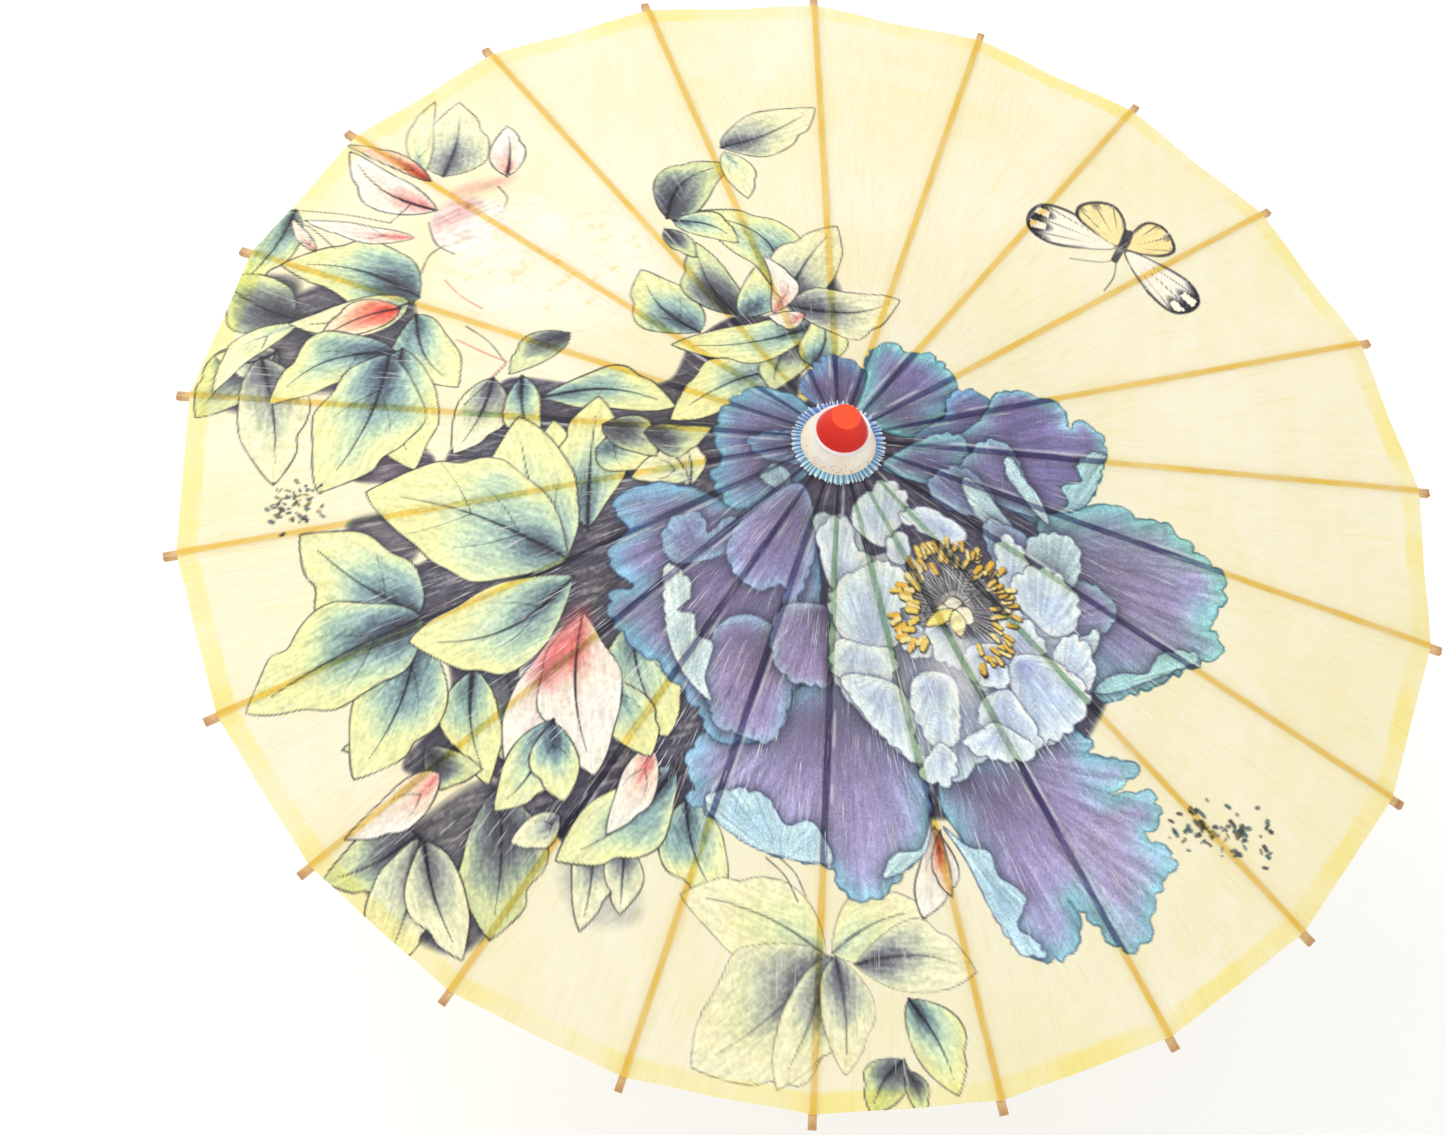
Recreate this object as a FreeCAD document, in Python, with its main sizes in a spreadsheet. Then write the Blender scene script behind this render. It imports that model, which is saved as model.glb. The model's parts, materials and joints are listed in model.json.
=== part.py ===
"""Folding parasol: a cloth canopy on 22 bamboo ribs hinged in a slotted crown, 22 struts and a runner.

Frame: millimetres, +Z up along the shaft, origin on the shaft's axis at the foot of the grip's wall.
The parasol is modelled open. Rib 01 points along +X and the others follow anticlockwise.
"""
import FreeCAD, Part
import os
import re

import Sketcher
from FreeCAD import Placement, Rotation, Vector

SIZES = {
    # the whole
    "rib_count": 22,
    "tip_radius": 420,
    "hub_height": 555,
    "open_angle": 14.5,
    "pivot_radius": 20,
    "link_length": 185,
    # ribs
    "rib_width": 5,
    "rib_depth": 4.4,
    "rib_bevel": 0.8,
    "rib_shoulder_width": 1,
    "rib_shoulder_depth": 0.7,
    "blade_width": 3,
    "rib_blade_length": 30,
    "rib_slot_width": 2.8,
    "rib_slot_inner": 12,
    "rib_slot_outer": 43,
    "bar_overlap": 1,
    "hole_radius": 0.8,
    "pin_radius": 0.75,
    # struts
    "strut_width": 4.2,
    "strut_depth": 3.6,
    "strut_blade_length": 36,
    "tongue_width": 2.4,
    "tongue_length": 44,
    # the notched rings of crown and runner, and the threads in them
    "cut_margin": 1,
    "notch_width": 3.3,
    "notch_floor": 16.8,
    "teeth_radius": 22.8,
    "crown_below": 8,
    "crown_above": 2.6,
    "neck_radius": 16,
    "neck_top": 16.4,
    "runner_half": 4,
    "flange_cone": 3,
    "cone_radius": 15.8,
    "sleeve_radius": 9.5,
    "sleeve_length": 38,
    "thread_radius": 0.6,
    "groove_radius": 0.7,
    "tooth_arc": 6,
    # shaft, grip and catch
    "shaft_radius": 6,
    "running_gap": 0.08,
    "shaft_foot": 8,
    "shaft_above": 26,
    "grip_radius": 11,
    "grip_length": 130,
    "grip_round": 3,
    "butt_radius": 10.4,
    "butt_height": 5,
    "butt_foot_radius": 6.24,
    "butt_edge_radius": 9.36,
    "butt_edge_height": 3,
    "butt_wall_height": 1,
    "joint_gap": 0.05,
    "end_gap": 0.5,
    "catch_lever": 38,
    "catch_gap": 0.4,
    "catch_reach": 8.6,
    "catch_width": 2,
    "catch_back": 0.6,
    "catch_heel": 2.4,
    "catch_foot_front": 4.4,
    "catch_slope_front": 5.2,
    "catch_slope_start": 8,
    "catch_lip": 5,
    "catch_slot_below": 4,
    "catch_slot_above": 2,
    "catch_pin_length": 10.2,
    "catch_slot_width": 2.6,
    "catch_slot_floor": 3.6,
    "catch_pin_offset": 2,
    # canopy
    "hem_setback": 8,
    "cloth_gap": 0.3,
    "cloth_thickness": 0.3,
    "cloth_mouth": 24.5,
    "cloth_overcut": 6,
    # what stands on the crown
    "collar_base": 2.9,
    "collar_top": 16.5,
    "collar_base_radius": 24,
    "collar_top_radius": 18.2,
    "collar_wall": 1.2,
    "washer_radius": 18.5,
    "washer_height": 1.5,
    "cap_base_radius": 16.5,
    "cap_top_radius": 9.7,
    "cap_height": 16.6,
    "cap_edge": 1,
    "ruffle_inner": 24.3,
    "ruffle_outer": 29.5,
    "ruffle_thickness": 1.5,
}

doc = FreeCAD.newDocument("parasol")
nodes = []


def build_sheet():
    """Puts every driving size in a spreadsheet, with its name as the cell's alias."""
    sheet = doc.addObject("Spreadsheet::Sheet", "Sizes")
    for row, (name, value) in enumerate(SIZES.items(), start=1):
        sheet.set(f"A{row}", name)
        sheet.set(f"B{row}", str(value))
        sheet.setAlias(f"B{row}", name)
    doc.recompute()
    return sheet


sizes = build_sheet()


def bound(expression):
    """The expression with each size's name turned into a reference to its cell."""
    return re.sub(r"[a-z_]+", lambda m: f"Sizes.{m[0]}" if m[0] in SIZES else m[0], str(expression))


def value(expression):
    """What such an expression comes to."""
    return float(sizes.evalExpression(bound(expression)))


def bind(thing, **expressions):
    """Drives properties of an object from the sheet, as Radius="shaft_radius"."""
    for name, expression in expressions.items():
        thing.setExpression(name, bound(expression))


def node(thing, label):
    """Names a finished sub-part. The label is its file's name too."""
    thing.Label = label
    nodes.append(thing)
    return thing


def new_body(name):
    return doc.addObject("PartDesign::Body", name)


def new_sketch(body, name, plane):
    """An empty sketch on one of the body's own origin planes."""
    sketch = body.newObject("Sketcher::SketchObject", name)
    support = next(f for f in body.Origin.OriginFeatures if f.Role == plane)
    sketch.AttachmentSupport = [(support, "")]
    sketch.MapMode = "FlatFace"
    return sketch


def place_point(sketch, geometry, vertex, across, up):
    """Fixes one point of the sketch at two expressions of the sheet."""
    for kind, expression in (("DistanceX", across), ("DistanceY", up)):
        constraint = Sketcher.Constraint(kind, -1, 1, geometry, vertex, value(expression))
        index = sketch.addConstraint(constraint)
        name = f"{kind[-1].lower()}_{geometry}_{vertex}"
        sketch.renameConstraint(index, name)
        sketch.setExpression(f"Constraints.{name}", bound(expression))


def outline(sketch, corners):
    """Draws a closed polygon whose corners are pairs of expressions."""
    first = len(sketch.Geometry)
    points = [Vector(value(across), value(up), 0) for across, up in corners]
    count = len(points)
    for i in range(count):
        sketch.addGeometry(Part.LineSegment(points[i], points[(i + 1) % count]), False)
    for i in range(count):
        sketch.addConstraint(Sketcher.Constraint("Coincident", first + i, 2, first + (i + 1) % count, 1))
    for i, (across, up) in enumerate(corners):
        place_point(sketch, first + i, 1, across, up)


def circle(sketch, across, up, radius):
    """Draws a circle from expressions."""
    centre = Vector(value(across), value(up), 0)
    index = sketch.addGeometry(Part.Circle(centre, Vector(0, 0, 1), value(radius)), False)
    place_point(sketch, index, 3, across, up)
    constraint = sketch.addConstraint(Sketcher.Constraint("Radius", index, value(radius)))
    sketch.renameConstraint(constraint, f"r_{index}")
    sketch.setExpression(f"Constraints.r_{index}", bound(radius))


def pad(body, name, sketch, width):
    """A pad that reaches equally to both sides of its sketch."""
    feature = body.newObject("PartDesign::Pad", name)
    feature.Profile = sketch
    feature.SideType = "Symmetric"
    bind(feature, Length=width)
    return feature


def pocket(body, name, sketch, width):
    """A pocket that reaches equally to both sides of its sketch."""
    feature = body.newObject("PartDesign::Pocket", name)
    feature.Profile = sketch
    feature.SideType = "Symmetric"
    bind(feature, Length=width)
    return feature


def revolved(body, name, sketch, kind="PartDesign::Revolution"):
    """The sketch, drawn on XZ, turned once round the Z axis, as a solid or as a groove."""
    feature = body.newObject(kind, name)
    feature.Profile = sketch
    feature.ReferenceAxis = (sketch, ["V_Axis"])
    feature.Angle = 360
    return feature


def turned_body(name, corners):
    """A body of one revolved outline."""
    body = new_body(name)
    sketch = new_sketch(body, name + "_profile", "XZ_Plane")
    outline(sketch, corners)
    revolved(body, name + "_turned", sketch)
    return body


def raise_to(thing, height):
    """Lifts a sub-part to a height on the shaft's axis, given as an expression."""
    bind(thing, **{".Placement.Base.z": height})
    return thing


# --- ribs and struts ------------------------------------------------------------------

RIB_LENGTH = "((tip_radius - pivot_radius) / cos(open_angle))"
RUNNER_HEIGHT = "(hub_height - 2 * link_length * sin(open_angle))"


def add_bar(body, name, start, stop, half_depth, width):
    """A straight stretch of bar along X, half_depth above and below the X axis."""
    side = new_sketch(body, name + "_side", "XZ_Plane")
    outline(side, [(start, f"-{half_depth}"), (stop, f"-{half_depth}"),
                   (stop, half_depth), (start, half_depth)])
    pad(body, name, side, width)


def add_round(body, name, along, half_depth, width):
    """A round end of the bar, centred on a hole."""
    side = new_sketch(body, name + "_side", "XZ_Plane")
    circle(side, along, 0, half_depth)
    pad(body, name, side, width)


def drill(body, name, width):
    """The two holes across a bar: at its inner end and at the joint of rib and strut."""
    side = new_sketch(body, name + "_side", "XZ_Plane")
    circle(side, 0, 0, "hole_radius")
    circle(side, "link_length", 0, "hole_radius")
    pocket(body, name, side, width)


def build_rib_bar():
    """One bamboo rib along X from its crown pivot, with bevelled shoulders and a slot for the strut."""
    half = "rib_depth / 2"
    body = new_body("rib_bar")
    add_round(body, "rib_end", 0, half, "blade_width")
    add_bar(body, "rib_blade", 0, "rib_blade_length + bar_overlap", half, "blade_width")
    main = new_sketch(body, "rib_main_side", "XZ_Plane")
    outline(main, [("rib_blade_length", f"-{half}"),
                   (f"{RIB_LENGTH} - rib_bevel", f"-{half}"),
                   (RIB_LENGTH, f"rib_bevel - {half}"),
                   (RIB_LENGTH, f"{half} - rib_bevel"),
                   (f"{RIB_LENGTH} - rib_bevel", half),
                   ("rib_blade_length", half)])
    pad(body, "rib_main", main, "rib_width")
    slot = new_sketch(body, "rib_slot_plan", "XY_Plane")
    outline(slot, [("link_length - rib_slot_inner", "-rib_slot_width / 2"),
                   ("link_length + rib_slot_outer", "-rib_slot_width / 2"),
                   ("link_length + rib_slot_outer", "rib_slot_width / 2"),
                   ("link_length - rib_slot_inner", "rib_slot_width / 2")])
    pocket(body, "rib_slot", slot, "2 * rib_depth")
    shoulders = new_sketch(body, "rib_shoulder_section", "YZ_Plane")
    for side in ("", "-"):
        outline(shoulders, [(f"{side}(rib_width / 2 - rib_shoulder_width)", half),
                            (f"{side}rib_width / 2", f"{half} - rib_shoulder_depth"),
                            (f"{side}rib_width", f"{half} - rib_shoulder_depth"),
                            (f"{side}rib_width", "rib_depth"),
                            (f"{side}(rib_width / 2 - rib_shoulder_width)", "rib_depth")])
    pocket(body, "rib_shoulders", shoulders, "tip_radius * 3")
    drill(body, "rib_holes", "rib_width * 2")
    return body


def build_strut_bar():
    """One strut, lying along X from its runner pivot to the tongue that enters the rib."""
    half = "strut_depth / 2"
    body = new_body("strut_bar")
    add_round(body, "strut_end", 0, half, "blade_width")
    add_bar(body, "strut_blade", 0, "strut_blade_length + bar_overlap", half, "blade_width")
    add_bar(body, "strut_main", "strut_blade_length", "link_length - tongue_length", half, "strut_width")
    add_bar(body, "strut_tongue", "link_length - tongue_length - bar_overlap", "link_length", half,
            "tongue_width")
    add_round(body, "strut_tip", "link_length", half, "tongue_width")
    drill(body, "strut_holes", "strut_width * 2")
    return body


def cross_pin(name, along, radius, width):
    """A round pin across a bar, along Y, centred on the bar's plane."""
    pin = doc.addObject("Part::Cylinder", name)
    bind(pin, Radius=radius, Height=width)
    pin.Placement = Placement(Vector(), Rotation(Vector(1, 0, 0), -90))
    bind(pin, **{".Placement.Base.x": along, ".Placement.Base.y": f"-({width}) / 2"})
    return pin


def set_round(pieces, label, index, height, tilt):
    """One of the ring of equal bars: turned to its place in the ring and tilted in its radial plane."""
    compound = doc.addObject("Part::Compound", label)
    compound.Links = pieces
    turn = 360 / value("rib_count") * index
    turned = Rotation(Vector(0, 0, 1), turn)
    compound.Placement = Placement(Vector(), turned * Rotation(Vector(0, 1, 0), tilt))
    bind(compound, **{
        ".Placement.Base.x": f"pivot_radius * cos({turn})",
        ".Placement.Base.y": f"pivot_radius * sin({turn})",
        ".Placement.Base.z": height,
    })
    return node(compound, label)


def build_ribs_and_struts():
    """Each rib carries its strut's pin, and each strut the knot that ties it to the runner."""
    rib = [build_rib_bar(), cross_pin("rib_pin", "link_length", "pin_radius", "rib_width")]
    strut = [build_strut_bar(), cross_pin("strut_knot", "0", "pin_radius", "blade_width")]
    for i in range(int(value("rib_count"))):
        set_round(rib, f"rib_{i + 1:02d}", i, "hub_height", value("open_angle"))
        set_round(strut, f"strut_{i + 1:02d}", i, RUNNER_HEIGHT, -value("open_angle"))


# --- crown and runner -----------------------------------------------------------------

SHAFT_BORE = "(shaft_radius + running_gap)"


def notched_ring(name, corners):
    """A turned wooden piece with one notch per rib in its rim and a round groove for the thread."""
    body = turned_body(name, corners)
    notch = new_sketch(body, name + "_notch_plan", "XY_Plane")
    beyond = "teeth_radius + cut_margin"
    outline(notch, [("notch_floor", "-notch_width / 2"), (beyond, "-notch_width / 2"),
                    (beyond, "notch_width / 2"), ("notch_floor", "notch_width / 2")])
    cut = pocket(body, name + "_notch", notch, "4 * crown_below")
    ring = body.newObject("PartDesign::PolarPattern", name + "_notches")
    ring.Originals = [cut]
    ring.Axis = (notch, ["N_Axis"])
    ring.Angle = 360
    bind(ring, Occurrences="rib_count")
    body.Tip = ring
    groove = new_sketch(body, name + "_thread_profile", "XZ_Plane")
    circle(groove, "pivot_radius", 0, "groove_radius")
    revolved(body, name + "_thread_groove", groove, "PartDesign::Groove")
    return body


def build_crown():
    """The crown that holds the ribs' inner ends, and its plain neck under the collar."""
    body = notched_ring("crown", [
        (SHAFT_BORE, "-crown_below"), ("teeth_radius", "-crown_below"), ("teeth_radius", "crown_above"),
        ("neck_radius", "crown_above"), ("neck_radius", "neck_top"), (SHAFT_BORE, "neck_top")])
    node(raise_to(body, "hub_height"), "crown_hub")


def build_runner():
    """The runner: a notched flange on a sleeve that slides on the shaft."""
    body = notched_ring("runner_wood", [
        (SHAFT_BORE, "-sleeve_length"), ("sleeve_radius", "-sleeve_length"),
        ("sleeve_radius", "-runner_half - flange_cone"), ("cone_radius", "-runner_half"),
        ("teeth_radius", "-runner_half"), ("teeth_radius", "runner_half"),
        (SHAFT_BORE, "runner_half")])
    node(raise_to(body, RUNNER_HEIGHT), "runner")


def build_threads():
    """The crown's thread, one ring through all ribs, and the runner's, short spans in its teeth."""
    ring = doc.addObject("Part::Torus", "crown_thread")
    bind(ring, Radius1="pivot_radius", Radius2="thread_radius")
    node(raise_to(ring, "hub_height"), "crown_thread")
    spans = []
    for i in range(int(value("rib_count"))):
        span = doc.addObject("Part::Torus", f"thread_span_{i + 1:02d}")
        bind(span, Radius1="pivot_radius", Radius2="thread_radius", Angle3="tooth_arc")
        turn = 360 / value("rib_count") * (i + 0.5) - value("tooth_arc") / 2
        span.Placement = Placement(Vector(), Rotation(Vector(0, 0, 1), turn))
        spans.append(span)
    compound = doc.addObject("Part::Compound", "runner_thread")
    compound.Links = spans
    node(raise_to(compound, RUNNER_HEIGHT), "runner_thread")


# --- shaft, grip and catch ------------------------------------------------------------

CATCH_TOP = f"({RUNNER_HEIGHT} - sleeve_length - catch_gap)"
CATCH_PIVOT = f"({CATCH_TOP} - catch_lever)"


def build_shaft():
    """The round shaft, with a slot and a pin hole for the catch."""
    foot = f"{CATCH_PIVOT} - catch_slot_below"
    head = f"{CATCH_TOP} + catch_slot_above"
    beyond = "shaft_radius + cut_margin"
    body = turned_body("shaft_rod", [
        (0, "shaft_foot"), ("shaft_radius", "shaft_foot"),
        ("shaft_radius", "hub_height + shaft_above"), (0, "hub_height + shaft_above")])
    slot = new_sketch(body, "catch_slot_side", "XZ_Plane")
    outline(slot, [("-catch_slot_floor", foot), (beyond, foot),
                   (beyond, head), ("-catch_slot_floor", head)])
    pocket(body, "catch_slot", slot, "catch_slot_width")
    hole = new_sketch(body, "catch_pin_side", "XZ_Plane")
    circle(hole, "catch_pin_offset", CATCH_PIVOT, "hole_radius")
    pocket(body, "catch_pin_hole", hole, "shaft_radius * 3")
    node(body, "shaft")


def build_catch():
    """The sprung lever that the open runner stands on, and its cross pin."""
    body = new_body("catch_lever_plate")
    side = new_sketch(body, "catch_side", "XZ_Plane")
    foot = f"{CATCH_PIVOT} - catch_heel"
    outline(side, [("-catch_back", foot), ("catch_foot_front", foot),
                   ("catch_slope_front", f"{CATCH_PIVOT} + catch_slope_start"),
                   ("catch_reach", f"{CATCH_TOP} - catch_lip"),
                   ("catch_reach", CATCH_TOP), ("-catch_back", CATCH_TOP)])
    pad(body, "catch_plate", side, "catch_width")
    hole = new_sketch(body, "catch_hole_side", "XZ_Plane")
    circle(hole, "catch_pin_offset", CATCH_PIVOT, "hole_radius")
    pocket(body, "catch_hole", hole, "catch_width * 2")
    node(body, "catch_lever")
    pin = cross_pin("catch_cross_pin", "catch_pin_offset", "pin_radius", "catch_pin_length")
    node(raise_to(pin, CATCH_PIVOT), "catch_pin")


def build_grip():
    """The thicker wooden grip round the shaft's lower end, and its domed butt."""
    body = turned_body("grip_wood", [
        (0, 0), ("grip_radius", 0), ("grip_radius", "grip_length - grip_round"),
        ("grip_radius - grip_round", "grip_length"), (SHAFT_BORE, "grip_length"),
        (SHAFT_BORE, "shaft_foot - end_gap"), (0, "shaft_foot - end_gap")])
    node(body, "grip")
    butt = turned_body("butt_plug", [
        (0, "-butt_height"), ("butt_foot_radius", "-butt_height"),
        ("butt_edge_radius", "-butt_edge_height"), ("butt_radius", "-butt_wall_height"),
        ("butt_radius", "-joint_gap"), (0, "-joint_gap")])
    node(butt, "grip_butt")


# --- what stands on the crown ---------------------------------------------------------

def build_finial():
    """The cloth-covered collar, the white washer on it and the cap that closes the top."""
    collar = turned_body("collar_shell", [
        ("collar_base_radius - collar_wall", "collar_base"), ("collar_base_radius", "collar_base"),
        ("collar_top_radius", "collar_top"), ("collar_top_radius - collar_wall", "collar_top")])
    node(raise_to(collar, "hub_height"), "collar")
    washer = turned_body("washer_disc", [
        (SHAFT_BORE, "collar_top + joint_gap"), ("washer_radius", "collar_top + joint_gap"),
        ("washer_radius", "collar_top + washer_height"), (SHAFT_BORE, "collar_top + washer_height")])
    node(raise_to(washer, "hub_height"), "finial_washer")
    base = "collar_top + washer_height + joint_gap"
    top = "collar_top + washer_height + cap_height"
    cap = turned_body("cap_shell", [
        (SHAFT_BORE, base), ("cap_base_radius", base),
        ("cap_top_radius", f"{top} - cap_edge"), ("cap_top_radius - cap_edge", top), (0, top),
        (0, "shaft_above + end_gap"), (SHAFT_BORE, "shaft_above + end_gap")])
    node(raise_to(cap, "hub_height"), "finial_cap")


def build_ruffle():
    """The ring of gathered cloth round the collar's foot, lying on the canopy's slope."""
    slope = "tan(open_angle)"
    lift = "rib_depth / 2 / cos(open_angle) + 2 * cloth_gap + cloth_thickness"
    under_inner = f"{lift} - (ruffle_inner - pivot_radius) * {slope}"
    under_outer = f"{lift} - (ruffle_outer - pivot_radius) * {slope}"
    body = turned_body("ruffle_ring", [
        ("ruffle_inner", under_inner), ("ruffle_outer", under_outer),
        ("ruffle_outer", f"{under_outer} + ruffle_thickness"),
        ("ruffle_inner", f"{under_inner} + ruffle_thickness")])
    node(raise_to(body, "hub_height"), "canopy_ruffle")


# --- canopy ---------------------------------------------------------------------------

def cloth_ring(name, radius, lift):
    """One regular outline of the canopy: a corner over each rib, this far above the ribs' slope."""
    ring = doc.addObject("Part::RegularPolygon", name)
    bind(ring, Polygon="rib_count", Circumradius=radius)
    drop = f"(({radius}) - pivot_radius) * tan(open_angle)"
    return raise_to(ring, f"hub_height - {drop} + {lift}")


def cloth_pyramid(name, inner, outer, lift):
    """A solid frustum between two such outlines."""
    loft = doc.addObject("Part::Loft", name)
    loft.Sections = [cloth_ring(name + "_mouth", inner, lift), cloth_ring(name + "_hem", outer, lift)]
    loft.Solid = True
    loft.Ruled = True
    return loft


def build_canopy():
    """The canopy: a thin pyramid from the mouth round the crown to the hem near the ribs' tips."""
    under = "(rib_depth / 2 + cloth_gap) / cos(open_angle)"
    over = "(rib_depth / 2 + cloth_gap + cloth_thickness) / cos(open_angle)"
    hem = "tip_radius - hem_setback"
    cloth = doc.addObject("Part::Cut", "canopy_cloth")
    cloth.Base = cloth_pyramid("outer_face", "cloth_mouth", hem, over)
    cloth.Tool = cloth_pyramid("inner_face", "cloth_mouth - cloth_overcut", "tip_radius", under)
    node(cloth, "canopy")


def check_and_write():
    """Stops on any failed object, then writes each sub-part to its own STEP file."""
    doc.recompute()
    for thing in doc.Objects:
        if {"Invalid", "Error"} & set(thing.State):
            raise RuntimeError(f"{thing.Label} failed: {thing.State}")
    os.makedirs("parts", exist_ok=True)
    for thing in nodes:
        if thing.Shape.isNull() or not thing.Shape.isValid():
            raise RuntimeError(f"{thing.Label} has no valid shape")
        thing.Shape.exportStep(f"parts/{thing.Label}.step")
        print(f"{thing.Label}: {thing.Shape.Volume:.1f} mm3, {len(thing.Shape.Solids)} solids")


build_shaft()
build_catch()
build_grip()
build_crown()
build_runner()
build_threads()
build_finial()
build_ruffle()
build_canopy()
build_ribs_and_struts()
check_and_write()
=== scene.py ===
"""The look of the folding parasol: printed cloth, its gathered ring, cap, wood, bamboo and thread.

Lengths are metres in the part's frame. The print is worked out in mm, in a plan frame of its own.
"""
import json
import math

import bpy
import numpy as np
from mathutils import Matrix, Vector

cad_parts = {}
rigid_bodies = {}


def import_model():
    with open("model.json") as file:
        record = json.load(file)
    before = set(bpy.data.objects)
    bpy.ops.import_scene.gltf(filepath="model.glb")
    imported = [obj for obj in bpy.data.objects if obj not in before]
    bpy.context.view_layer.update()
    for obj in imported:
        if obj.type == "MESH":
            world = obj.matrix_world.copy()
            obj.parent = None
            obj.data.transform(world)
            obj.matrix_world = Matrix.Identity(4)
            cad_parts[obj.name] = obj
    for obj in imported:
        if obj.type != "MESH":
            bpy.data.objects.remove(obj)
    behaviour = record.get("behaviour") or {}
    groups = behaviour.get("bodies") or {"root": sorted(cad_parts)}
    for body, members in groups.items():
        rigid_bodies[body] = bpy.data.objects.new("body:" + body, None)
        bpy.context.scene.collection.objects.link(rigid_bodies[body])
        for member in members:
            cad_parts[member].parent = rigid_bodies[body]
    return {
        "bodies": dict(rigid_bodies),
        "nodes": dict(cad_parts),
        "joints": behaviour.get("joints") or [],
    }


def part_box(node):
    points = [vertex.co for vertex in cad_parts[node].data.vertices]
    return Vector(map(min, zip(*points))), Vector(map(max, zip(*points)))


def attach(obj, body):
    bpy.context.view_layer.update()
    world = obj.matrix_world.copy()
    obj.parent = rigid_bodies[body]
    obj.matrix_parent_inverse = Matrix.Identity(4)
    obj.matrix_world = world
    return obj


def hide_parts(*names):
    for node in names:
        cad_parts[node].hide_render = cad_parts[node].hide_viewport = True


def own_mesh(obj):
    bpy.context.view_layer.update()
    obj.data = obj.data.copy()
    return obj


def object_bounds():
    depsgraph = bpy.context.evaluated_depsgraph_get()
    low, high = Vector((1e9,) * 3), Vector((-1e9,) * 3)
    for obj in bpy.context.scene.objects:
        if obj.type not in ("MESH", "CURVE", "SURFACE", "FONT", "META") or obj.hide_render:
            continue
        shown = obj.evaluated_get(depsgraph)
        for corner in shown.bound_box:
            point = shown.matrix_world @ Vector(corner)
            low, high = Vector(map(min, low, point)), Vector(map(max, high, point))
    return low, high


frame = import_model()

CAD_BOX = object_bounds()

JOINTS = {joint["name"]: joint for joint in frame["joints"]}
RIBS = sorted(body for body in frame["bodies"] if body.startswith("rib_"))
STEP = 2 * math.pi / len(RIBS)
HALF_TAN = math.tan(STEP / 2)
SLOPE = math.tan(math.radians(14.5))
MM = 0.001


def rib_angle(rib):
    """The direction in plan of a rib, from its hinge's axis, which lies across it."""
    axis = JOINTS[rib.replace("rib_", "rib_hinge_")]["axis"]
    return math.atan2(-axis[0], axis[1])


# --- the print ---------------------------------------------------------------------------------------

PRINT_TURN = math.radians(9.236)
CLOTH = (247, 240, 208)
INK = (30, 30, 40)
LATTICE = np.random.RandomState(11).rand(128, 128).astype(np.float32)


def grain(x, y, size, turn=0.0):
    """Smooth noise from 0 to 1, with lumps about size mm across."""
    c, s = math.cos(turn), math.sin(turn)
    wide, tall = size if isinstance(size, tuple) else (size, size)
    u, v = (x * c + y * s) / wide + 500.3, (y * c - x * s) / tall + 500.7
    i, j = np.floor(u).astype(int), np.floor(v).astype(int)
    f, g = u - i, v - j
    f, g = f * f * (3 - 2 * f), g * g * (3 - 2 * g)
    at = lambda p, q: LATTICE[p % 128, q % 128]
    low = at(i, j) * (1 - f) + at(i + 1, j) * f
    high = at(i, j + 1) * (1 - f) + at(i + 1, j + 1) * f
    return low * (1 - g) + high * g


def smooth(points, closed=True, gap=2.5):
    """A smooth line through a few points, with steps of about gap mm."""
    p = np.array(points, float)
    n = len(p)
    out = []
    for i in range(n if closed else n - 1):
        if closed:
            a, b, c, d = p[i - 1], p[i], p[(i + 1) % n], p[(i + 2) % n]
        else:
            a, b, c, d = p[max(i - 1, 0)], p[i], p[i + 1], p[min(i + 2, n - 1)]
        steps = max(2, int(np.linalg.norm(c - b) / gap))
        t = np.arange(steps)[:, None] / steps
        square, cube = 2 * a - 5 * b + 4 * c - d, 3 * b - a - 3 * c + d
        out.append(0.5 * (2 * b + (c - a) * t + square * t ** 2 + cube * t ** 3))
    if not closed:
        out.append(p[-1:])
    return np.concatenate(out)


def ruffled(line, root, wave, depth):
    """A petal's line with round scallops about wave mm long and depth mm deep, fading out near its root."""
    after = np.roll(line, -1, 0) - line
    length = np.linalg.norm(after, axis=1)
    area = 0.5 * np.sum(line[:, 0] * np.roll(line[:, 1], -1) - line[:, 1] * np.roll(line[:, 0], -1))
    along = np.cumsum(length) - length
    share = along / along[-1]
    lobes = max(3, round(along[-1] / wave))
    lumps = grain(line[:, 0], line[:, 1], 14.0)
    bump = 1.05 * np.abs(np.sin(np.pi * (share * lobes + 1.3 * lumps))) ** 0.6
    bump = bump + 0.2 * np.abs(np.sin(np.pi * (share * lobes * 2.6 + 2.0 * lumps)))
    normal = np.stack([after[:, 1], -after[:, 0]], 1) / np.maximum(length, 1e-6)[:, None]
    if area < 0:
        normal = -normal
    away = np.linalg.norm(line - root, axis=1)
    away = np.clip(away / away.max() * 2 - 0.75, 0, 1)
    return line + normal * ((bump - 0.6) * depth * away)[:, None]


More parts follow.
